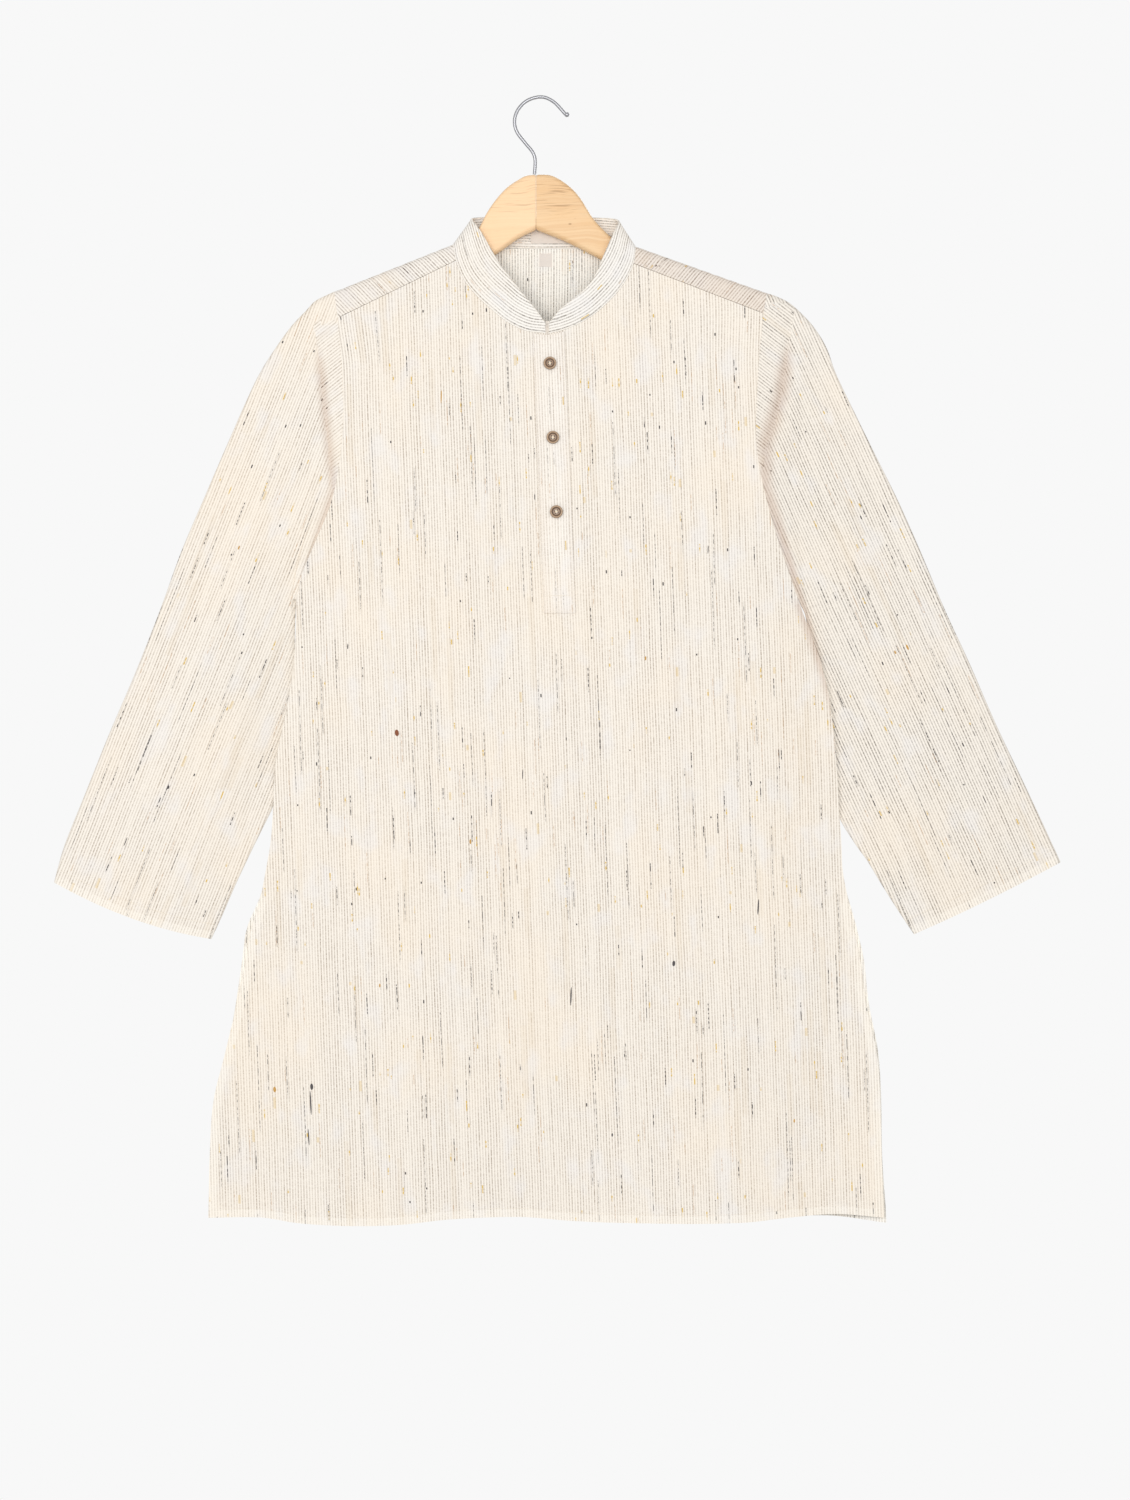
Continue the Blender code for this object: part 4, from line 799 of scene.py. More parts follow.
def add_panel(name, node, outline, lift, out, thick, look, cut, step=GRID):
    """A sewn piece: a flat outline filled, lifted to its hanging shape and made a shell."""
    flat, faces = flat_mesh(outline, grid_points(outline, step))
    offset = np.broadcast_to(out(flat) if callable(out) else out, len(flat))
    points = lift(flat) + normals_of(lift, flat) * offset[:, None]
    normals = normals_of_mesh(points, faces)
    if normals[:, 1].mean() > 0:
        faces, normals = faces[:, ::-1], -normals
    wall = thick(flat) if callable(thick) else thick
    piece = add_shell(name, node, points, normals, faces, wall, look, cut(flat))
    width, length = (round(float(s), 3) for s in outline.max(axis=0) - outline.min(axis=0))
    x, z = outline.T
    area = abs(float(np.dot(x, np.roll(z, -1)) - np.dot(z, np.roll(x, -1)))) / 2
    area = round(min(area, width * length), 5)


def front_outline():
    """The front panel's edge, from the neck's left end anticlockwise, then its parts."""
    stations, sides = collar_stations(8)
    necks, edges = {}, {}
    for side in (-1, 1):
        keep = (sides < 0) & ((stations[:, 0] - 0.006) * side > 0)
        keep &= stations[:, 1] < SHOULDER_SEAM[side][1] - 0.001
        necks[side] = stations[keep, :2]
        arm, corner = armhole_seam(side, GRID)
        shoulder = resample([SHOULDER_SEAM[side][:2], arm[corner]], GRID)
        shoulder = shoulder - FOLDS[side].up * SHOULDER_GAP
        edges[side] = (shoulder, arm[corner + 1 :], side_edge(side, GRID)[1:])
    hem = hem_edge(GRID)
    outline = np.vstack([
        resample(NECK_SLIT[:2], GRID)[1:],
        resample(NECK_SLIT[2:], GRID)[:-1],
        necks[1][::-1],
        *edges[1],
        hem[::-1],
        *[line[::-1] for line in reversed(edges[-1])],
        necks[-1][::-1],
    ])
    return outline, edges, hem, list(necks.values())


def back_outline():
    """The flat back piece's edge, with its shoulder parts, then its parts."""
    stations, sides = collar_stations(8)
    edges, necks = {}, []
    for side in (1, -1):
        fold = FOLDS[side]
        arm, corner = armhole_seam(side, GRID)
        shoulder = resample([SHOULDER_SEAM[side][:2], arm[corner]], GRID)
        over = fold.flat_from_front(*arm[1 : corner + 1][::-1].T)
        down = fold.flat_from_back(*arm[:-1].T)
        edge = side_edge(side, GRID, back=True)
        edges[side] = (fold.flat_from_front(*shoulder.T)[:-1], np.vstack([over, down]), edge)
        neck = []
        for (x, z), where in zip(stations[:, :2], sides):
            if (x - CENTRE_X) * side <= 0 or z < SHOULDER_SEAM[side][1] + 0.001:
                continue
            if where < 0:
                neck.append(fold.flat_from_front(x, z))
            elif where > 0:
                neck.append(fold.flat_from_back(x, z))
            else:
                neck.append(fold.place(fold.down(x, z), fold.turn_start + FOLD_RADIUS * math.pi / 2))
        necks.append(np.array(neck)[::-1])
    hem = hem_edge(GRID, back=True)
    outline = np.vstack([*edges[-1], hem, *[line[::-1] for line in reversed(edges[1])], *necks])
    return outline, edges, hem, necks


class Graph:
    """A material whose nodes are made from plain expressions."""

    def __init__(self, name, rough, sheen=0.0, metal=0.0):
        self.material = bpy.data.materials.new(name)
        self.material.use_nodes = True
        self.nodes = self.material.node_tree.nodes
        self.links = self.material.node_tree.links
        self.shader = self.nodes["Principled BSDF"]
        self.shader.inputs["Roughness"].default_value = rough
        self.shader.inputs["Sheen Weight"].default_value = sheen
        self.shader.inputs["Sheen Roughness"].default_value = 0.5
        self.shader.inputs["Metallic"].default_value = metal

    def feed(self, socket, value):
        if isinstance(value, bpy.types.NodeSocket):
            self.links.new(value, socket)
        else:
            socket.default_value = value

    def make(self, kind, *values, **settings):
        node = self.nodes.new(kind)
        for key, value in settings.items():
            setattr(node, key, value)
        for socket, value in zip(node.inputs, values):
            self.feed(socket, value)
        return node

    def math(self, kind, *values):
        return self.make("ShaderNodeMath", *values, operation=kind).outputs[0]

    def add(self, a, b):
        return self.math("ADD", a, b)

    def mul(self, a, b):
        return self.math("MULTIPLY", a, b)

    def at(self, x, y=0.0, z=0.0):
        return self.make("ShaderNodeCombineXYZ", x, y, z).outputs[0]

    def chance(self, x, y):
        """A fixed random number from 0 to 1 for each whole x and y."""
        return self.make("ShaderNodeTexWhiteNoise", self.at(x, y), noise_dimensions="2D").outputs["Value"]

    def noise(self, x, y, z, detail=2.0):
        """Cloudy noise; a part given as a pair is a place and what it is multiplied by."""
        parts = [self.mul(*part) if isinstance(part, tuple) else part for part in (x, y, z)]
        node = self.make("ShaderNodeTexNoise", self.at(*parts), noise_dimensions="3D")
        node.inputs["Scale"].default_value = 1.0
        node.inputs["Detail"].default_value = detail
        return node.outputs["Fac"]

    def step(self, low, high, value):
        """0 at low, 1 at high and a soft step between."""
        made = self.make("ShaderNodeMapRange", value, low, high, interpolation_type="SMOOTHSTEP")
        return made.outputs[0]

    def between(self, value, low, high):
        """A 0 to 1 value spread from low to high."""
        return self.add(self.mul(value, high - low), low)

    def off_middle(self, value):
        """How far a value is from the middle between two whole numbers."""
        return self.math("ABSOLUTE", self.add(self.math("FRACT", value), -0.5))

    def mix(self, share, a, b):
        node = self.nodes.new("ShaderNodeMix")
        node.data_type = "RGBA"
        for socket, value in ((0, share), (6, a), (7, b)):
            self.feed(node.inputs[socket], value)
        return node.outputs[2]

    def tint(self, colour, other, share, low, high, value):
        """The colour with a share of another where a value passes from low to high."""
        return self.mix(self.mul(self.step(low, high, value), share), colour, other)

    def parts(self, vector):
        return self.make("ShaderNodeSeparateXYZ", vector).outputs

    def cut(self):
        """Place across and along the warp on the flat cloth, and the value that paints it: 1 pale at a hem,
        -1 painted shade in a fold.
        """
        return self.parts(self.make("ShaderNodeAttribute", attribute_name="cut").outputs["Vector"])

    def place(self):
        """The point in the object's own space."""
        return self.parts(self.make("ShaderNodeTexCoord").outputs["Object"])

    def finish(self, colour, height, depth, strength):
        bump = self.nodes.new("ShaderNodeBump")
        bump.inputs["Strength"].default_value = strength
        bump.inputs["Distance"].default_value = depth
        self.links.new(height, bump.inputs["Height"])
        self.links.new(bump.outputs[0], self.shader.inputs["Normal"])
        self.links.new(colour, self.shader.inputs["Base Color"])
        return self.material


def rgb(red, green, blue):
    """A linear colour from a screen colour of 0 to 255."""
    parts = [c / 255 for c in (red, green, blue)]
    return (*(c / 12.92 if c <= 0.04045 else ((c + 0.055) / 1.055) ** 2.4 for c in parts), 1.0)


def warp_lines(g, u, v):
    """Dark warp lines, 1 on a line and 0 between, uneven in strength and broken up along the thread."""
    place = g.mul(u, 1 / STRIPE)
    line = g.math("FLOOR", place)
    strength = g.between(g.chance(line, 0.0), 0.55, 1.0)
    dots = g.between(g.step(0.36, 0.64, g.noise((line, 5.3), (v, 620.0), 0.0, 1.0)), 0.50, 1.0)
    slow = g.between(g.step(0.3, 0.7, g.noise((line, 3.7), (v, 24.0), 2.0)), 0.6, 1.0)
    return g.mul(g.mul(g.step(0.31, 0.11, g.off_middle(place)), strength), g.mul(dots, slow))


def slubs(g, u, v, width, run, share, seed):
    """Short thick threads: each thread is cut into runs, and a share of them shows."""
    place = g.mul(u, 1 / width)
    thread = g.math("FLOOR", place)
    along = g.add(g.mul(v, 1 / run), g.mul(g.chance(thread, seed), 9.0))
    piece = g.math("FLOOR", along)
    shown = g.math("GREATER_THAN", g.chance(g.add(thread, seed * 7.13), piece), 1 - share)
    part = g.math("FRACT", along)
    length = g.between(g.chance(g.add(thread, seed * 3.31), piece), 0.25, 0.95)
    ends = g.mul(g.step(0.0, 0.07, part), g.math("LESS_THAN", part, length))
    return g.mul(g.mul(shown, ends), g.step(0.5, 0.26, g.off_middle(place)))


def cloth_look(name, light, dark, contrast, slubbed, folded=0.36):
    """Handloom cotton with a wandering warp, pale at its hems, with painted shade where it folds away."""
    g = Graph(name, rough=0.92, sheen=0.06)
    u, v, shade = g.cut()
    wander = g.noise((u, 7.0), (v, 5.0), 1.0)
    fine = g.noise((u, 60.0), (v, 22.0), 4.0, 1.0)
    u = g.add(u, g.add(g.mul(wander, 0.0030), g.mul(fine, 0.0007)))
    lines = warp_lines(g, u, v)
    weft = g.noise((u, 55.0), (v, WEFT_THREADS), 0.0, 1.0)
    grain = g.noise((u, 900.0), (v, 500.0), 3.0)
    colour = g.mix(g.mul(lines, contrast), light, dark)
    colour = g.tint(colour, dark, 0.06, 0.40, 0.70, weft)
    colour = g.tint(colour, dark, 0.08, 0.45, 0.75, grain)
    colour = g.tint(colour, WARM, 0.26, 0.40, 0.70, g.noise((u, 11.0), (v, 7.0), 8.0, 3.0))
    colour = g.tint(colour, COOL, 0.35, 0.52, 0.72, g.noise((u, 38.0), (v, 21.0), 12.0))
    height = g.add(g.mul(lines, -0.35), g.add(g.mul(weft, 0.55), g.mul(grain, 0.5)))
    for tint, width, run, share, seed, strength, beaded in slubbed:
        found = slubs(g, u, v, width, run, share, seed)
        if beaded:
            beads = g.step(0.44, 0.58, g.noise((u, 90.0), (v, 300.0), seed))
            found = g.mul(found, g.between(beads, 0.22, 1.0))
        colour = g.mix(g.mul(found, strength), colour, tint)
    colour = g.tint(colour, CREAM, 0.25, 0.58, 0.66, shade)
    # Painted shade: the SHADE colour where the cut's value runs down to -1, in folds and beside seams
    colour = g.tint(colour, SHADE, folded, -0.52, -1.0, shade)
    return g.finish(colour, height, 0.00028, 0.55)


def woven_look(name, light, dark, across, along):
    """The labels' plain close weave."""
    g = Graph(name, rough=0.85, sheen=0.05)
    u, v, _ = g.cut()
    crossings = g.mul(g.math("SINE", g.mul(u, across)), g.math("SINE", g.mul(v, along)))
    weave = g.mul(g.add(crossings, 1.0), 0.5)
    share = g.add(g.mul(weave, 0.5), g.mul(g.noise((u, 70.0), (v, 70.0), 0.0, 3.0), 0.5))
    return g.finish(g.mix(share, light, dark), weave, 0.00015, 0.4)


def thread_look(name, light, dark):
    g = Graph(name, rough=0.75, sheen=0.05)
    twist = g.noise(*[(part, 2600.0) for part in g.place()])
    return g.finish(g.mix(twist, light, dark), twist, 0.0001, 0.4)


def wood_look(name, light, dark, warm, grain):
    """Planed pale wood with its grain along the board, a little open and satin."""
    g = Graph(name, rough=0.46)
    x, y, z = g.place()
    level = g.add(z, g.mul(g.noise((x, 14.0), (y, 20.0), (z, 14.0)), 0.018))
    rings = g.noise((x, 3.0), (y, 60.0), (level, 420.0))
    fibres = g.noise((x, 55.0), (y, 700.0), (level, 2100.0))
    colour = g.tint(light, dark, grain, 0.35, 0.68, rings)
    colour = g.tint(colour, warm, 0.45, 0.4, 0.7, g.noise((x, 18.0), 0.0, (z, 60.0), 3.0))
    colour = g.mix(g.mul(fibres, 0.22), colour, dark)
    pores = g.noise((x, 130.0), (y, 900.0), (level, 1900.0), 1.0)
    colour = g.tint(colour, PORE, 0.5 * grain, 0.66, 0.80, pores)
    streak = g.step(0.54, 0.66, g.noise((x, 26.0), 0.0, (level, 950.0)))
    colour = g.mix(g.mul(g.mul(g.step(-0.120, -0.110, z), streak), grain), colour, PORE)
    knot_x, knot_z, size = KNOT
    off = g.at(g.add(x, -knot_x), 0.0, g.mul(g.add(z, -knot_z), 1.7))
    length = g.make("ShaderNodeVectorMath", off, operation="LENGTH").outputs["Value"]
    colour = g.tint(colour, PORE, 0.6, size, size * 0.35, length)
    return g.finish(colour, g.add(g.mul(fibres, 0.6), g.mul(rings, 0.4)), 0.0001, 0.3)


def button_look(name):
    """Turned brown horn or wood: streaks, a darker dish and a lighter rim."""
    g = Graph(name, rough=0.34)
    radius, _, _ = g.cut()
    x, y, z = g.place()
    streaks = g.noise((x, 340.0), (y, 340.0), (z, 1500.0), 3.0)
    colour = g.mix(streaks, rgb(176, 144, 114), rgb(112, 86, 66))
    groove = g.mul(g.step(0.0030, 0.0037, radius), g.step(0.0047, 0.0041, radius))
    colour = g.mix(g.mul(groove, 0.75), colour, rgb(60, 44, 34))
    rim = g.mul(g.step(0.0049, 0.0053, radius), g.step(0.0062, 0.0057, radius))
    colour = g.mix(g.mul(rim, 0.5), colour, rgb(206, 178, 146))
    colour = g.tint(colour, rgb(240, 220, 190), 0.8, 0.0016, 0.0009, radius)
    colour = g.tint(colour, rgb(60, 44, 34), 0.6, 0.0058, 0.0063, radius)
    return g.finish(colour, streaks, 0.00012, 0.35)


def steel_look(name):
    """Bright plated wire with faint drawing marks."""
    g = Graph(name, rough=0.32, metal=1.0)
    x, y, z = g.place()
    marks = g.noise((x, 500.0), (y, 1500.0), (z, 500.0), 3.0)
    haze = g.noise((x, 60.0), (y, 60.0), (z, 60.0))
    colour = g.mix(g.add(g.mul(marks, 0.5), g.mul(haze, 0.5)), rgb(186, 186, 190), rgb(158, 159, 164))
    return g.finish(colour, marks, 0.00001, 0.1)


# The distance between two warp lines, and weft threads in a metre
STRIPE = 0.0028
WEFT_THREADS = 1150.0
LIGHT = rgb(245, 238, 228)
DARK = rgb(170, 157, 143)
DEEP = rgb(126, 118, 110)
WARM = rgb(247, 230, 207)
COOL = rgb(233, 232, 234)
CREAM = rgb(255, 250, 240)
# Painted shade, mixed into the cloth in folds and beside seams
SHADE = rgb(172, 132, 104)
CHARCOAL = rgb(62, 58, 60)
MUSTARD = rgb(216, 180, 84)
TAN = rgb(186, 146, 104)
ZONE = rgb(214, 194, 164)
PORE = rgb(150, 104, 62)
STRIP_LIGHT = rgb(247, 241, 233)
# The back's pale is lighter than the front's: painted light inside the neck, where the back shows
BACK_TONES = (rgb(255, 252, 245), rgb(118, 109, 101))
PALE_WOOD = (rgb(250, 215, 173), rgb(238, 198, 152), rgb(247, 208, 162))
ORANGE_WOOD = (rgb(239, 205, 161), rgb(224, 180, 131), rgb(238, 195, 142))
# The knot in the wood: x, z, radius
KNOT = (0.0290, -0.1260, 0.0022)
# Tint, thread width, run length, share that shows, seed, strength, beaded or not
CLOTH_SLUBS = (
    (ZONE, 0.0075, 0.110, 0.090, 5.0, 0.14, False),
    (MUSTARD, 0.0032, 0.014, 0.0034, 4.0, 0.36, False),
    (CHARCOAL, 0.0009, 0.095, 0.0220, 1.0, 0.85, True),
    (CHARCOAL, 0.0012, 0.030, 0.0090, 2.0, 1.00, True),
    (CHARCOAL, 0.0017, 0.004, 0.0007, 7.0, 0.95, False),
    (MUSTARD, 0.0016, 0.012, 0.0080, 3.0, 0.95, True),
    (TAN, 0.0010, 0.040, 0.0140, 6.0, 0.60, True),
)
PLACKET_SLUBS = (
    (CHARCOAL, 0.0010, 0.060, 0.0350, 1.0, 0.50, True),
    (TAN, 0.0011, 0.030, 0.0250, 6.0, 0.50, True),
    (MUSTARD, 0.0015, 0.011, 0.0040, 3.0, 0.80, False),
)
# Each look's material and the slot that it fills
LOOK = {
    "cloth": (cloth_look("striped_cotton", LIGHT, DARK, 1.0, CLOTH_SLUBS), "cloth"),
    "back": (cloth_look("back_cotton", *BACK_TONES, 1.0, CLOTH_SLUBS), "cloth"),
    "left_sleeve": (cloth_look("left_sleeve_cotton", LIGHT, DEEP, 1.0, CLOTH_SLUBS), "cloth"),
    "collar": (cloth_look("collar_cotton", rgb(248, 244, 238), DEEP, 1.0, PLACKET_SLUBS, 0.05), "cloth"),
    "placket": (cloth_look("placket_cotton", STRIP_LIGHT, DARK, 0.75, PLACKET_SLUBS, 0.05), "placket"),
    "label": (woven_look("label_tape", rgb(244, 236, 228), rgb(208, 198, 190), 9000.0, 7000.0), "label"),
    "thread": (thread_look("thread", rgb(250, 243, 230), rgb(220, 208, 190)), "cloth"),
    "nub_dark": (thread_look("dark_slub", rgb(98, 92, 92), rgb(52, 50, 54)), "cloth"),
    "nub_brown": (thread_look("brown_slub", rgb(158, 92, 58), rgb(104, 56, 34)), "cloth"),
    "nub_mustard": (thread_look("mustard_slub", rgb(214, 170, 92), rgb(176, 130, 66)), "cloth"),
    "button": (button_look("turned_button"), "button"),
    "hole": (thread_look("button_hole", rgb(40, 28, 22), rgb(22, 16, 12)), "button"),
    "wood_right": (wood_look("pale_wood", *PALE_WOOD, 0.35), "wood"),
    "wood_left": (wood_look("orange_wood", *ORANGE_WOOD, 0.55), "wood"),
    "steel": (steel_look("bright_wire"), "steel"),
}


def parted(edges):
    """The slits, shoulder seams, armhole seams and side seams of a panel, each from both sides."""
    parts = [[], [], [], []]
    for side in (-1, 1):
        shoulder, arm, edge = edges[side]
        slit = edge[:, 1] < SLIT_TOP_Z
        for part, line in zip(parts, (edge[slit], shoulder, arm, edge[~slit])):
            part.append(line)
    return parts


def add_body(name, node, look, shape, lift, behind):
    """The front or the back panel, with its turned edges, seam allowances and creases."""
    outline, edges, hem, necks = shape
    slits, shoulders, armholes, side_seams = parted(edges)
    seams = [*necks, *shoulders, *armholes, *side_seams]

    def band(p):
        slit, lower = distance_to(p, *slits), distance_to(p, hem)
        return np.maximum(hem_band(slit, SLIT_HEM), hem_band(lower, LOWER_HEM))

    def thick(p):
        return SHELL + band(p) + SEAM_SWELL * (1 - smooth(0.001, 0.007, distance_to(p, *side_seams)))

    def out(p):
        ridge = ALLOWANCE_RIDGE * (1 - smooth(0.0065, 0.0085, distance_to(p, *armholes)))
        rise = body_relief(p, behind) - BAND_SINK * band(p) + ridge
        return -rise * (p[:, 1] < BACK_SMOOTH_Z) if behind else rise

    def cut(p):
        x, z = p.T
        # The cut's value paints shade down the front's side seams, fading out below the armpits, and over
        # the back's shoulder parts
        shade = -0.5 * near_edge(p, seams)
        if behind:
            across = x + 0.0007
            for side, depth in SHOULDER_SHADE.items():
                over = FOLDS[side].across(x, z) - FOLDS[side].turn_start
                here = (x < CENTRE_X) == (side < 0)
                shade = np.where(here, np.minimum(shade, -depth * smooth(0.0, 0.004, over)), shade)
        else:
            fade = np.where(x < 0, smooth(-0.56, -0.44, z), smooth(-0.66, -0.56, z))
            shade = np.minimum(shade, -near_edge(p, side_seams) * (0.5 + 0.5 * fade))
            lean = 0.006 * smooth(-0.275, -0.205, z)
            lean = lean * (smooth(0.13, 0.20, -x) - 0.6 * smooth(0.14, 0.21, x))
            across = x + WARP_LEAN * z + lean
        return np.stack([across, z, near_edge(p, [hem, *slits]) + shade], axis=1)

    add_panel(name, node, outline, lift, out, thick, look, cut)
    return edges, hem


def sleeve_depth(from_outer, from_inner, length, half, rise):
    """Half depth of a sleeve ring between its folds; it is full a share rise in from the inner one."""
    full_out = smooth(CAP_FOLD_RADIUS, 0.35 * length, from_outer)
    full_in = smooth(UNDERARM_RADIUS, rise * length, from_inner)
    outer = CAP_FOLD_RADIUS + (half - CAP_FOLD_RADIUS) * full_out
    inner = UNDERARM_RADIUS + (half - UNDERARM_RADIUS) * full_in
    depth = np.minimum(outer, inner)
    for radius, distance in ((CAP_FOLD_RADIUS, from_outer), (UNDERARM_RADIUS, from_inner)):
        depth = depth * np.sqrt(1 - (1 - np.minimum(distance / radius, 1.0)) ** 2)
    return depth


def sleeve_form(side):
    """Fine rings from the armhole to the cuff, each x, z and the front's and back's y; and their shares."""
    seam, _ = armhole_seam(side, GRID)
    near_end = [seam[-1] + (seam[-2] - seam[-1]) * s for s in (0.62, 0.34, 0.15, 0.04)]
    seam = np.vstack([seam[:-1], near_end, seam[-1:]])
    along = run_along(seam)
    share = along / along[-1]
    tangents = np.gradient(seam, axis=0)
    outward = np.stack([tangents[:, 1], -tangents[:, 0]], axis=1) * -side
    outward /= np.linalg.norm(outward, axis=1)[:, None]
    gaps = SEWN_GAP + (ARMPIT_SPACE[side] - SEWN_GAP) * smooth(0.86, 0.99, share)
    first = seam + outward * gaps[:, None]
    chord = first[0] + (first[-1] - first[0]) * share[:, None]
    bend = (first - chord) * (1 - share**3)[:, None]
    turned = 1 - np.minimum(1.0, (1 - share) * along[-1] / UNDERARM_RADIUS)
    least = UNDERARM_RADIUS * np.sqrt(np.maximum(0.0, 1 - turned**2))
    ends = np.ones(len(share))
    ends[[0, -1]] = 0.0
    fronts = -np.maximum(half_depth(*seam.T, FRONT_DEPTH), least) * ends
    backs = np.maximum(half_depth(*seam.T, BACK_DEPTH), least) * ends
    tucked = seam - outward * TUCK
    rings = [(*tucked.T, fronts * 0.94 + 0.0009 * ends, backs * 0.94 - 0.0009 * ends)]
    rings.append((*first.T, fronts + 0.0001 * ends, backs - 0.0001 * ends))
    last = len(SLEEVE_RINGS[side]) - 1
    for k, (outer_x, outer_z, inner_x, inner_z, behind, half, keep) in enumerate(SLEEVE_RINGS[side]):
        outer, inner = np.array((outer_x, outer_z)), np.array((inner_x, inner_z))
        length = float(np.linalg.norm(inner - outer))
        line = outer + (inner - outer) * share[:, None] + bend * keep
        line[:, 1] -= CUFF_BOW[side] * smooth(last - 3, last, k) * 4 * share * (1 - share)
        rise = 0.60 - 0.28 * smooth(8, 12, k)
        depth = (1 - keep) * sleeve_depth(share * length, (1 - share) * length, length, half, rise)
        middle = behind * share
        rings.append((*line.T, keep * fronts - depth + middle, keep * backs + depth + middle))
    rings = np.array(rings)
    return np.concatenate([rings[:1], between(rings[1:], RING_STEPS)]), share


def fold_shade(flat, side):
    """Painted shade: 1 in the bottom of the fold at the armhole and of the one below it, and 0 from 15 to
    28 mm away.
    """
    points = flat.reshape(-1, 2)
    valley = np.array(VALLEYS[side]).reshape(-1, 2)
    below = np.array(SLEEVE_CREASES[side][1][:-2]).reshape(-1, 2)
    line = curve_through(np.vstack([valley, below[1:]]), 9)
    more, low, most = FOLD_SHADE[side]
    z = points[:, 1]
    width = 0.015 + more * smooth(-0.470, -0.380, z)
    close = np.maximum(0.0, 1 - distance_to(points, line) / width)
    strength = smooth(-0.190, -0.280, z) * smooth(low, low + 0.12, z) * most
    return (close * strength).reshape(flat.shape[:-1])


def on_cloth(flat, angle, side):
    """Places across and along a warp that leans by an angle from vertical, outwards down a sleeve."""
    across = (math.cos(angle), side * math.sin(angle))
    along = (side * math.sin(angle), -math.cos(angle))
    return flat @ across, flat @ along


def ring_faces(rings, around):
    """The faces between closed rings of points."""
    faces = []
    for start in range(0, (rings - 1) * around, around):
        for i in range(around):
            a, b = start + i, start + (i + 1) % around
            faces.append((a, b, b + around, a + around))
    return faces


def add_sleeve(name, side, node, look):
    """A sleeve all round. Gives its front's and its back's points and their distance to the cuff."""
    fine, share = sleeve_form(side)
    x, z, front, back = (fine[:, k] for k in range(4))
    rings, count = x.shape
    ring = np.arange(rings)[:, None]
    ease = smooth(0.0, 0.06, np.minimum(share, 1 - share)) * smooth(0.2, 1.2, ring)
    front = stack(x, front - sleeve_relief(x, z, side, False) * ease + hang(x, z), z)
    back = stack(x, back + sleeve_relief(x, z, side, True) * ease + hang(x, z), z)
    points = np.concatenate([front, back[:, -2:0:-1]], axis=1)
    around = points.shape[1]
    flat = np.stack([x, z], axis=2)
    grain = math.radians(SLEEVE_GRAIN[side])
    to_cuff = np.abs(z[-1] - z) / math.cos(grain)
    near_hem = np.maximum(0.0, 1 - to_cuff / NEAR)
    from_seam = np.linalg.norm(flat - flat[1:2], axis=2)
    near_seam = np.where((ring >= 1) & (ring < RING_STEPS * 3), np.maximum(0.0, 1 - from_seam / NEAR), 0.0)
    # The cut's value: pale at the cuff, and painted shade in the armhole's fold on the sleeve's front
    back_shade = near_hem - 0.5 * near_seam
    shade = np.minimum(back_shade, near_hem - fold_shade(flat, side))
    front_cut = np.stack([*on_cloth(flat, grain, side), shade], axis=2)
    back_cut = np.stack([*on_cloth(flat, grain, side), back_shade], axis=2)
    wedge_cut = np.stack([*on_cloth(flat, math.radians(WEDGE_GRAIN), side), shade], axis=2)
    valley = np.array(VALLEYS[side]).reshape(-1, 2)[::-1]
    corners = []
    for k in range(rings - 1):
        for i in range(around):
            a, b, source = i, i + 1, front_cut
            if i < count - 1:
                middle_x, middle_z = x[k, i : i + 2].mean(), z[k : k + 2, i].mean()
                edge = float(np.interp(middle_z, valley[:, 1], valley[:, 0]))
                if (middle_x - edge) * side < 0 and valley[0, 1] < middle_z < valley[-1, 1]:
                    source = wedge_cut
            else:
                a, b, source = 2 * count - 2 - i, 2 * count - 3 - i, back_cut
            corners.append((source[k, a], source[k, b], source[k + 1, b], source[k + 1, a]))
    points = points.reshape(-1, 3)
    faces, corners = np.array(ring_faces(rings, around)), np.array(corners)
    normals = normals_of_mesh(points, faces)
    if normals.reshape(rings, around, 3)[:, 1 : count - 1, 1].mean() > 0:
        faces, corners, normals = faces[:, ::-1], corners[:, ::-1], -normals
    band = hem_band(to_cuff, CUFF_HEM)
    band = np.concatenate([band, band[:, -2:0:-1]], axis=1).ravel()
    points = points - normals * (BAND_SINK * band)[:, None]
    piece = add_shell(name, node, points, normals, faces, SHELL + band, look, corners)
    for face in (faces[:, [0, 1, 2]], faces[:, [0, 2, 3]]):
        a, b, c = (points[face[:, k]] for k in range(3))
    widest = float(run_along(points.reshape(rings, around, 3)[WIDEST_RING])[-1])
    return front, back, to_cuff


def collar_wall(level):
    """The band's thickness at a level: pinched at its foot seam and rounded at its top fold."""
    at_top = math.sqrt(max(0.03, 1 - max(0.0, (level - 0.965) / 0.035) ** 2))
    return 0.0021 * at_top - 0.0004 * (1 - float(smooth(0.0, 0.05, level)))


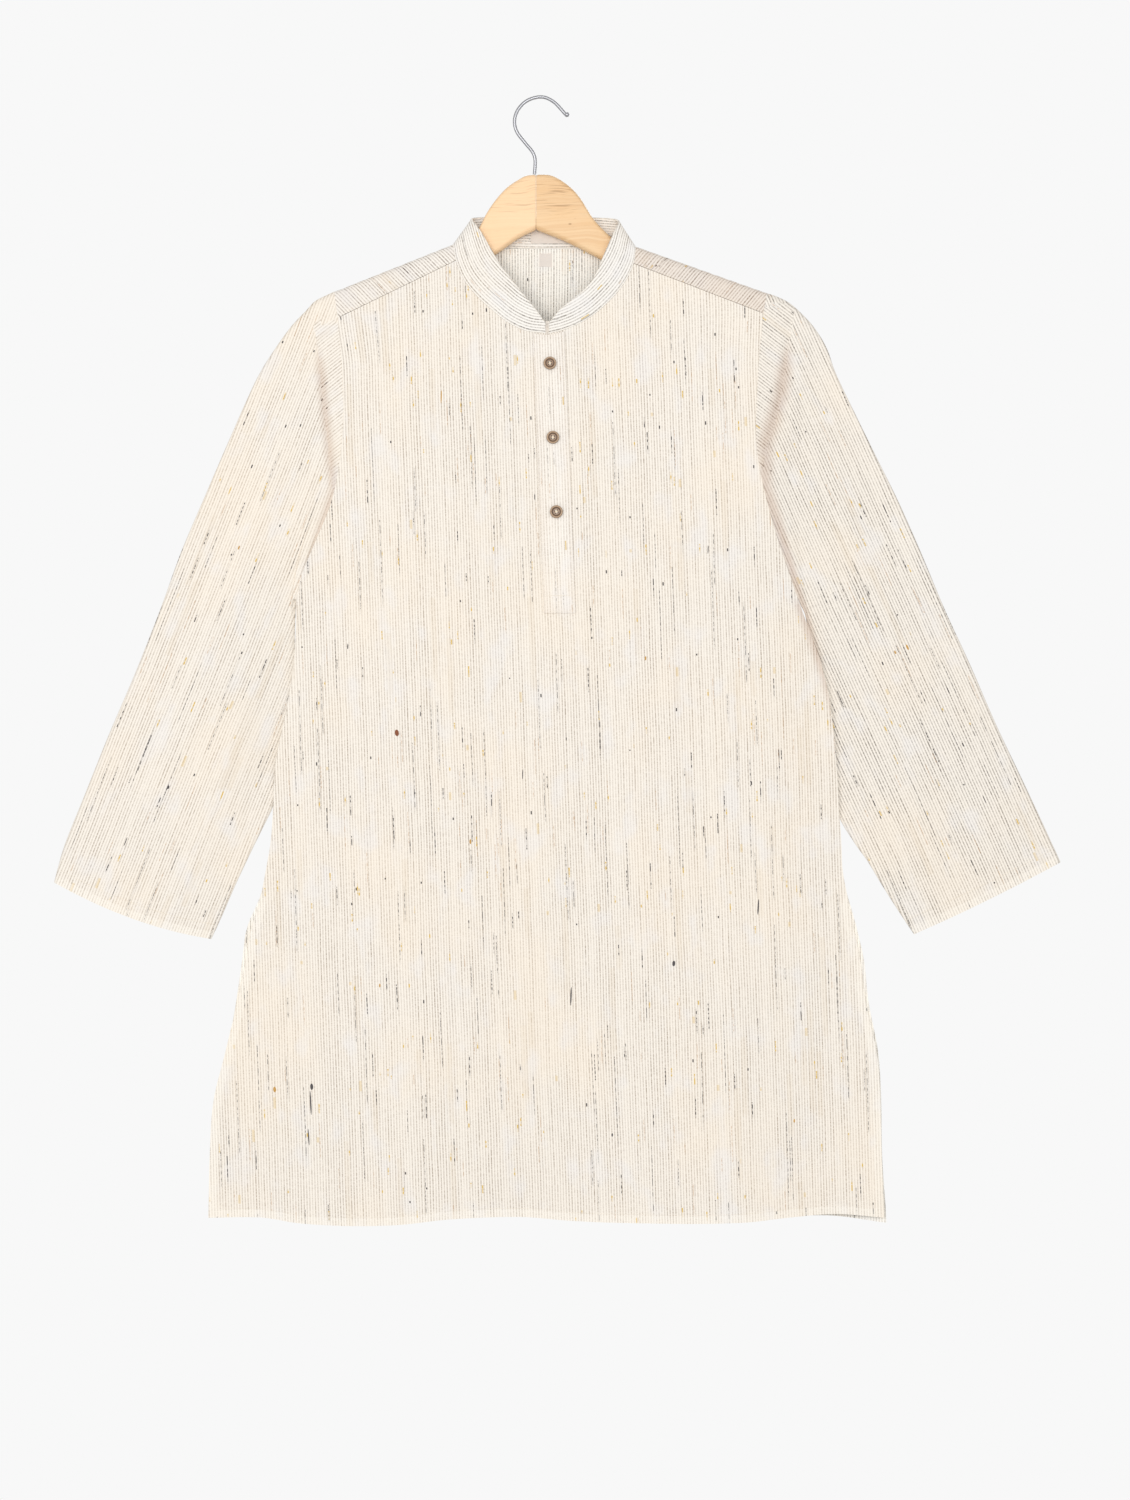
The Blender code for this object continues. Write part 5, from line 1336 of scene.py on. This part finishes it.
def add_collar():
    """The standing band, cut double and turned, open at the front. Gives its rows of points and normals."""
    stations, sides = collar_stations(COLLAR_FINE)
    x, z, top_x, top_z, top_y = stations.T
    neck_y = np.zeros(len(x))
    for sign, full in ((-1, FRONT_DEPTH), (1, BACK_DEPTH)):
        neck_y = np.where(sides == sign, sign * half_depth(x, z, full), neck_y)
    neck = stack(x, np.where(np.abs(top_y) < 1e-6, 0.0, neck_y), z)
    top = stack(top_x, top_y, top_z)
    height = np.linalg.norm(top - neck, axis=1)
    run = run_along((neck + top) / 2)
    points, cut = [], []
    for row in COLLAR_LEVELS:
        level = 0.0002 / height + (1 - 0.0002 / height) * row
        x, y, z = (neck + (top - neck) * level[:, None]).T
        points.append(stack(x, y + hang(x, z), z))
        cut.append(stack(row * height + 0.0004, run, 0.0))
    rows, count = len(points), len(run)
    points, cut = np.concatenate(points), np.concatenate(cut)
    starts = [r * count + i for r in range(rows - 1) for i in range(count - 1)]
    faces = np.array([(a, a + 1, a + count + 1, a + count) for a in starts])
    normals = normals_of_mesh(points, faces)
    wall = np.repeat([collar_wall(level) for level in COLLAR_LEVELS], count)
    piece = add_shell("collar_band", "collar", points, normals, faces, wall, "collar", cut)
    return points.reshape(rows, count, 3), normals.reshape(rows, count, 3)


def placket_x(z):
    """The placket's middle line."""
    share = (z - PLACKET_TOP[1]) / (PLACKET_FOOT[1] - PLACKET_TOP[1])
    return PLACKET_TOP[0] + (PLACKET_FOOT[0] - PLACKET_TOP[0]) * share


def add_strip(name, node, width, top, foot_z, out, thin):
    """A strip down the placket's line, under the given top points from left to right."""
    top = np.array(top, float)
    step = 0.0030
    z = np.arange(top[:, 1].min() - step, foot_z, -step)
    left, right = (np.stack([placket_x(z) + half, z], axis=1) for half in (-width / 2, width / 2))
    ends = placket_x(foot_z) + np.linspace(-width / 2, width / 2, round(width / step) + 1)
    foot = np.stack([ends, np.full(len(ends), foot_z)], axis=1)
    outline = np.vstack([left, foot, right[::-1], resample(top, step)[::-1]])
    edge = closed(outline)

    def offset(p):
        swell = 0.0003 * (1 - smooth(0.004, 0.006, distance_to(p, edge))) if thin else 0.0
        return body_relief(p, False) + out + swell

    def wall(p):
        share = 0.55 + 0.45 * smooth(0.0, 0.0016, distance_to(p, edge)) if thin else 1.0
        return STRIP_SHELL * share

    def cut(p):
        x, z = p.T
        # The cut's value paints a little shade along the strip's edges
        return np.stack([x - placket_x(z) + 0.0004, z, -0.99 * near_edge(p, [edge])], axis=1)

    add_panel(name, node, outline, lift_front, offset, wall, "placket", cut, step)


def add_plackets():
    """The button strip on the front, thin at its edges, and the strip behind the slit with its end."""
    out = SHELL / 2 + 0.00008 + STRIP_SHELL / 2
    name, node = "placket_strip", "placket_top"
    add_strip(name, node, PLACKET_WIDTH, PLACKET_TOP_EDGE, PLACKET_FOOT[1], out, True)
    shoulder_z = UNDER_TOP_Z + 0.002
    half = [(-UNDER_WIDTH / 2, UNDER_TOP_Z), (-TAB_WIDTH / 2, shoulder_z), (-TAB_WIDTH / 2, TAB_TOP_Z)]
    top = [*half, *[(-x, z) for x, z in reversed(half)]]
    top = [(placket_x(TAB_TOP_Z) + x, z) for x, z in top]
    out = -(SHELL / 2 + 0.0003 + STRIP_SHELL / 2)
    add_strip("under_strip", "placket_under", UNDER_WIDTH, top, UNDER_FOOT_Z, out, False)


def add_label(name, node, place, lift, out):
    """A bare woven label inside the back of the neck."""
    x, z, width, height = place
    corners = [(-1, -1), (1, -1), (1, 1), (-1, 1), (-1, -1)]
    corners = [(x + a * width / 2, z + b * height / 2) for a, b in corners]
    step = 0.0016
    outline = np.vstack([resample(corners[i : i + 2], step)[:-1] for i in range(4)])
    edge = closed(outline)

    def wall(p):
        return 0.0005 + 0.0002 * (1 - smooth(0.0008, 0.0016, distance_to(p, edge)))

    def cut(p):
        return stack(p[:, 0], p[:, 1], 0.0)

    add_panel(name, node, outline, lift, out, wall, "label", cut, step)


def loft(sections):
    """Points and outward faces of a closed body through rings of points, with flat ends."""
    sections = np.asarray(sections)
    count, around = sections.shape[:2]
    faces = ring_faces(count, around)
    faces.append(tuple(range(around))[::-1])
    faces.append(tuple(range((count - 1) * around, count * around)))
    points = sections.reshape(-1, 3)
    return points, facing_out(points, faces)


def facing_out(points, faces):
    """A closed body's faces, turned where they would face in."""
    volume = 0.0
    for face in faces:
        for i, j in zip(face[1:], face[2:]):
            volume += float(np.dot(points[face[0]], np.cross(points[i], points[j])))
    return faces if volume > 0 else [face[::-1] for face in faces]


def joined(parts):
    """Points and faces of several bodies in one mesh."""
    points, faces, start = [], [], 0
    for more_points, more_faces in parts:
        points.append(more_points)
        faces += [tuple(start + i for i in face) for face in more_faces]
        start += len(more_points)
    return np.vstack(points), faces


def board_section(x, top_z, foot_z, half):
    """A rounded upright section of the hanger's board at x."""
    turn = min(BOARD_ROUND, half * 0.92, (top_z - foot_z) * 0.45)
    y, top, foot = half - turn, top_z - turn, foot_z + turn
    points = []
    for quarter, (middle_y, middle_z) in enumerate(((y, top), (-y, top), (-y, foot), (y, foot))):
        for angle in range(90 * quarter, 90 * quarter + 91, 10):
            t = math.radians(angle)
            points.append((x, middle_y + turn * math.cos(t), middle_z + turn * math.sin(t)))
    points = np.array(points)
    points[:, 1] += hang(points[:, 0], points[:, 2])
    return points


def add_board(name, side, node, look):
    """Half of the hanger: its raised middle, then an arm under the shoulder's fold."""
    fold = FOLDS[side]
    start = BOARD_JOINT_X + side * BOARD_JOINT_GAP / 2
    shown, end = BOARD_TOP[side][-1][0], ARM_END_X[side]
    seat = (CLOTH + ARM_SEAT_GAP) / abs(fold.along[0])
    sections = []
    for x in [*np.linspace(start, shown, 60), *np.linspace(shown, end, 40)[1:]]:
        top = fold.outline_z(x) - seat
        foot = top - ARM_DEPTH
        if abs(x) < abs(shown):
            top = min(float(from_table(BOARD_TOP[side], x, 1)), top if abs(x) > NECK_HALF else 1.0)
            foot = float(from_table(BOARD_FOOT[side], x, 1))
        narrowing = 1 - 0.35 * (1 - float(smooth(0.0, 0.020, abs(end - x))))
        narrowing *= 1 - 0.03 * (1 - float(smooth(0.0, 0.0012, abs(x - start))))
        middle, half = (top + foot) / 2, (top - foot) / 2 * narrowing
        sections.append(board_section(x, middle + half, middle - half, BOARD_THICK / 2 * narrowing))
    points, faces = loft(sections)
    add_piece(name, points, faces, look, node=node, sharp=40)


def circle(radius, sides):
    """A flat ring of points."""
    turns = np.arange(sides) * 2 * math.pi / sides
    return np.stack([radius * np.cos(turns), radius * np.sin(turns)], axis=1)


def ring_on(centre, ring, across, up):
    """A flat ring set in space, along two directions."""
    return centre + ring[:, :1] * across + ring[:, 1:] * up


def add_hook():
    """The bent wire from its foot on the wood to its ball tip."""
    line = curve_through(HOOK_LINE, 240)
    points = stack(line[:, 0], 0.0, line[:, 1])
    tangents = np.gradient(points, axis=0)
    tangents /= np.linalg.norm(tangents, axis=1)[:, None]
    along = run_along(points)
    ball = along[-1] - HOOK_BALL_RADIUS
    stops = [s for s in along if s < ball - HOOK_BALL_RADIUS]
    stops += [ball - HOOK_BALL_RADIUS * math.cos(math.radians(turn)) for turn in range(46, 177, 10)]
    towards = np.array((0.0, 1.0, 0.0))
    sections = []
    for s in stops:
        centre, tangent = (
            np.array([np.interp(s, along, column) for column in rows.T]) for rows in (points, tangents)
        )
        radius = WIRE_RADIUS
        if s > ball - HOOK_BALL_RADIUS:
            share = (s - ball) / HOOK_BALL_RADIUS
            radius = max(HOOK_BALL_RADIUS * math.sqrt(max(0.0, 1 - share**2)), 0.0001)
        outward = np.cross(tangent / np.linalg.norm(tangent), towards)
        sections.append(ring_on(centre, circle(radius, 24), towards, outward))
    add_piece("bent_hook", *loft(sections), "steel", node="hanger_hook")


# A spindle's outline: share of its length, share of its width
SPINDLE = ((0.0, 0.12), (0.1, 0.6), (0.28, 0.95), (0.5, 1.0), (0.72, 0.95), (0.9, 0.6), (1.0, 0.12))


def spindle(a, b, normal, thick, wide, sides, sink):
    """A short rounded thread or lump from a to b, partly sunk along the normal."""
    axis = b - a
    sideways = np.cross(axis, normal)
    sideways /= max(float(np.linalg.norm(sideways)), 1e-9)
    start = a - normal * thick * sink
    rings = []
    for t, size in SPINDLE:
        rings.append(ring_on(start + axis * t, circle(size, sides), sideways * wide, normal * thick))
    return loft(rings)


def thread_row(points, normals):
    """A spindle of thread from each point of a line to the next, with gaps between."""
    made = []
    for a, b, n in zip(points, points[1:], normals):
        gap = (b - a) * STITCH_GAP
        made.append(spindle(a + gap, b - gap, n, THREAD, THREAD * 1.15, 5, 0.3))
    return made


def stitches(line, surface, pitch=STITCH):
    """Thread along a flat line; surface gives the points and normals that it lies on."""
    return thread_row(*surface(resample(line, pitch)))


def on_body(behind, out):
    """What gives places and outward normals that far out of the front's or the back's own cloth."""

    def surface(p):
        lift = lift_back if behind else lift_front
        n = normals_of(lift, p) * (-1 if behind else 1)
        return lift(p) + n * (body_relief(p, behind) + out)[:, None], n

    return surface


def beside(line, distance):
    """A line moved sideways in its plane, to its left where distance is positive."""
    tangents = np.gradient(line, axis=0)
    tangents /= np.maximum(np.linalg.norm(tangents, axis=1)[:, None], 1e-9)
    return line + np.stack([-tangents[:, 1], tangents[:, 0]], axis=1) * distance


def body_stitches(edges, hem, behind):
    """Rows of thread at a panel's seams and turned edges, and a bar at the top of the front's slits."""
    surface = on_body(behind, SHELL / 2 + 0.0001)
    bars, rows = [], []
    for side in (-1, 1):
        shoulder, arm, edge = edges[side]
        if behind:
            arm = arm[FOLDS[side].across(*arm.T) < -0.012]
        else:
            rows.append(beside(shoulder, SHOULDER_STITCH * side)[2:-2])
        rows.append(beside(arm, -side * ARM_STITCH)[1 if behind else 2 : -3])
        slit = edge[edge[:, 1] < SLIT_TOP_Z]
        inner = beside(slit, -side * SLIT_HEM)
        rows.append(inner[inner[:, 1] > HEM_Z + LOWER_HEM * 0.3])
        bars.append([slit[0] - (side * 0.001, 0.0), slit[0] - (side * SLIT_HEM, 0.001)])
    row = hem + (0.0, LOWER_HEM)
    rows.append(row[(row[:, 0] > hem[0, 0] + SLIT_HEM) & (row[:, 0] < hem[-1, 0] - SLIT_HEM)])
    made = [part for row in rows for part in stitches(row, surface)]
    if not behind:
        made += [part for bar in bars for part in stitches(bar, surface, 0.0016)]
    return made


def trim_stitches(collar):
    """Rows of thread along the placket and both sides of the collar."""
    surface = on_body(False, SHELL / 2 + STRIP_SHELL + 0.00035)
    half = PLACKET_WIDTH / 2 - STRIP_STITCH
    foot_z = PLACKET_FOOT[1] + STRIP_STITCH
    across_z = foot_z + 0.0155
    made = []
    for row in (
        ((-half, -0.2400), (-half, foot_z)),
        ((half, -0.2380), (half, foot_z)),
        ((-half, foot_z), (half, foot_z)),
        ((-half, across_z), (half, across_z)),
    ):
        made += stitches([(placket_x(z) + x, z) for x, z in row], surface)
    points, normals = collar
    for row in (1, 10):
        wall = collar_wall(COLLAR_LEVELS[row]) / 2 + 0.00008
        along = run_along(points[row])
        keys = np.arange(0.002, along[-1] - 0.002, STITCH)
        line = at_lengths(points[row], keys)
        for face in (1, -1):
            n = face * np.stack([np.interp(keys, along, column) for column in normals[row].T], axis=1)
            made += thread_row(line + n * wall, n)
    return made


def cuff_stitches(front, back, to_cuff):
    """The turned cuff's row of thread, all round the sleeve."""
    made = []
    for points, sign in ((front, -1.0), (back, 1.0)):
        columns = range(2, points.shape[1] - 2)
        line = [[np.interp(-CUFF_HEM, -to_cuff[:, i], part) for part in points[:, i].T] for i in columns]
        line = np.array(line) + (0.0, sign * (SHELL / 2 + 0.0003), 0.0)
        places = at_lengths(line, np.arange(0.0, run_along(line)[-1], STITCH))
        made += thread_row(places, [np.array((0.0, sign, 0.0))] * len(places))
    return made


def nub_ends(x, z, length, lean):
    """Both ends of a slub, from its middle and its lean in degrees."""
    half = np.array((math.sin(math.radians(lean)), -math.cos(math.radians(lean)))) * length / 2
    return np.array([(x, z) - half, (x, z) + half])


def add_nubs(sleeves):
    """Thick slubs that stand up from the cloth, partly sunk into it."""
    made = {"nub_dark": [], "nub_mustard": [], "nub_brown": []}
    surface = on_body(False, SHELL / 2)
    for x, z, length, width, lean, look in FRONT_NUBS:
        (a, b), normals = surface(nub_ends(x, z, length, lean))
        made[look].append(spindle(a, b, normals[0], width * 0.3, width * 0.62, 8, 0.25))
    for side, front in sleeves.items():
        x, y, z = front.reshape(-1, 3).T
        tree = tree_of(np.stack([x, z], axis=1))
        for nub_x, nub_z, length, width, lean, look in SLEEVE_NUBS[side]:
            ends = []
            for end_x, end_z in nub_ends(nub_x, nub_z, length, -lean):
                level = np.mean([y[i] for _, i, _ in tree.find_n((end_x, end_z, 0.0), 4)])
                ends.append(np.array((end_x, level - SHELL / 2, end_z)))
            normal = np.array((0.0, -1.0, 0.0))
            made[look].append(spindle(*ends, normal, width * 0.3, width * 0.62, 8, 0.25))
    for look, parts in made.items():
        add_piece(look + "s", *joined(parts), look)


def add_button(number, x, z, turn):
    """A turned button with a raised rim, sewn through four holes."""
    place = np.array([(x, z)])
    (seat,), (normal,) = on_body(False, SHELL / 2 + STRIP_SHELL + 0.0001)(place)
    across = np.cross((0.0, 0.0, 1.0), -normal)
    across /= np.linalg.norm(across)
    up = np.cross(normal, across)
    turn = math.radians(turn)
    across, up = (
        across * math.cos(turn) + up * math.sin(turn),
        up * math.cos(turn) - across * math.sin(turn),
    )
    profile = curve_through(BUTTON_PROFILE, 46)
    sides = 56
    rings = [
        ring_on(seat + normal * height, circle(max(radius, 0.00002), sides), across, up)
        for radius, height in profile
    ]
    points, cut = np.concatenate(rings), stack(np.repeat(profile[:, 0], sides), 0.0, 0.0)
    faces = facing_out(points, ring_faces(len(profile), sides))
    corners = np.vstack([cut[list(face)] for face in faces])
    add_piece(f"sewn_button_{number}", points, faces, "button", corners, f"button_{number}")
    reach = BUTTON_HOLE_OUT
    corners = [(reach, reach), (-reach, reach), (-reach, -reach), (reach, -reach)]
    top = normal * BUTTON_DISH
    hole = circle(BUTTON_HOLE_RADIUS * 0.95, 16)
    bases = [seat + across * a + up * b for a, b in corners]
    holes = [loft([ring_on(base + top * s, hole, across, up) for s in (0.80, 1.015)]) for base in bases]
    threads = []
    for first, second in ((0, 1), (3, 2)):
        for rise, shift in ((0.00010, 0.00016), (0.00016, -0.00016)):
            a, b = (bases[k] + up * shift + top + normal * rise for k in (first, second))
            threads.append(spindle(a, b, normal, 0.00024, 0.00022, 7, 0.0))
    add_piece(f"button_holes_{number}", *joined(holes), "hole")
    add_piece(f"button_thread_{number}", *joined(threads), "thread")


def add_studio():
    """A pale floor below the picture, soft lights, a near-white surround and the camera."""
    mesh = bpy.data.meshes.new("studio_floor")
    mesh.from_pydata([(x, y, FLOOR_Z) for x, y in circle(0.62, 96)], [], [tuple(range(96))])
    g = Graph("floor_paint", rough=0.8)
    x, y, _ = g.place()
    cloud = g.noise((x, 9.0), (y, 9.0), 0.0, 3.0)
    paint = g.mix(cloud, rgb(240, 239, 237), rgb(230, 229, 227))
    mesh.materials.append(g.finish(paint, cloud, 0.0003, 0.2))
    link("studio_floor", mesh)
    world = bpy.data.worlds.new("surround")
    bpy.context.scene.world = world
    world.use_nodes = True
    nodes, links = world.node_tree.nodes, world.node_tree.links
    seen = nodes["Background"]
    seen.inputs["Color"].default_value = rgb(248, 248, 248)
    seen.inputs["Strength"].default_value = 1.0
    light = nodes.new("ShaderNodeBackground")
    light.inputs["Color"].default_value = (1.0, 0.995, 0.985, 1)
    light.inputs["Strength"].default_value = AMBIENT
    path, pick = nodes.new("ShaderNodeLightPath"), nodes.new("ShaderNodeMixShader")
    links.new(path.outputs["Is Camera Ray"], pick.inputs[0])
    links.new(light.outputs[0], pick.inputs[1])
    links.new(seen.outputs[0], pick.inputs[2])
    links.new(pick.outputs[0], nodes["World Output"].inputs["Surface"])
    for name, place, aim, size, power, colour in STUDIO_LIGHTS:
        lamp = bpy.data.lights.new(name, "AREA")
        lamp.shape = "DISK"
        lamp.size = size
        lamp.energy = power
        lamp.color = colour
        link(name, lamp, place, (Vector(aim) - Vector(place)).to_track_quat("-Z", "Y").to_euler())
    camera = bpy.data.cameras.new("camera")
    camera.lens = LENS
    camera.sensor_width = 36
    camera.clip_end = 50
    bpy.context.scene.camera = link("camera", camera, CAMERA, (math.radians(90), 0, 0))
    bpy.context.scene.view_settings.view_transform = "Standard"


def main():
    add_studio()
    front = add_body("front_panel", "front", "cloth", front_outline(), lift_front, False)
    back = add_body("back_panel", "back", "back", back_outline(), lift_back, True)
    sleeves = {}
    for side, node, look in ((-1, "right_sleeve", "cloth"), (1, "left_sleeve", "left_sleeve")):
        made = add_sleeve(node + "_cloth", side, node, look)
        add_piece(node + "_cloth_stitches", *joined(cuff_stitches(*made)), "thread")
        sleeves[side] = made[0]
    collar = add_collar()
    add_plackets()
    add_label("neck_tape", "neck_label", NECK_LABEL, lift_collar_back, 0.0014)
    add_label("size_tape", "size_label", SIZE_LABEL, lift_back, SHELL / 2 + 0.00035)
    for number, place in enumerate(BUTTON_PLACES, 1):
        add_button(number, *place)
    add_board("board_right", -1, "hanger_arm_right", "wood_right")
    add_board("board_left", 1, "hanger_arm_left", "wood_left")
    add_hook()
    add_piece("front_stitches", *joined(body_stitches(*front, False)), "thread")
    add_piece("back_stitches", *joined(body_stitches(*back, True)), "thread")
    add_piece("trim_stitches", *joined(trim_stitches(collar)), "thread")
    add_nubs(sleeves)


main()
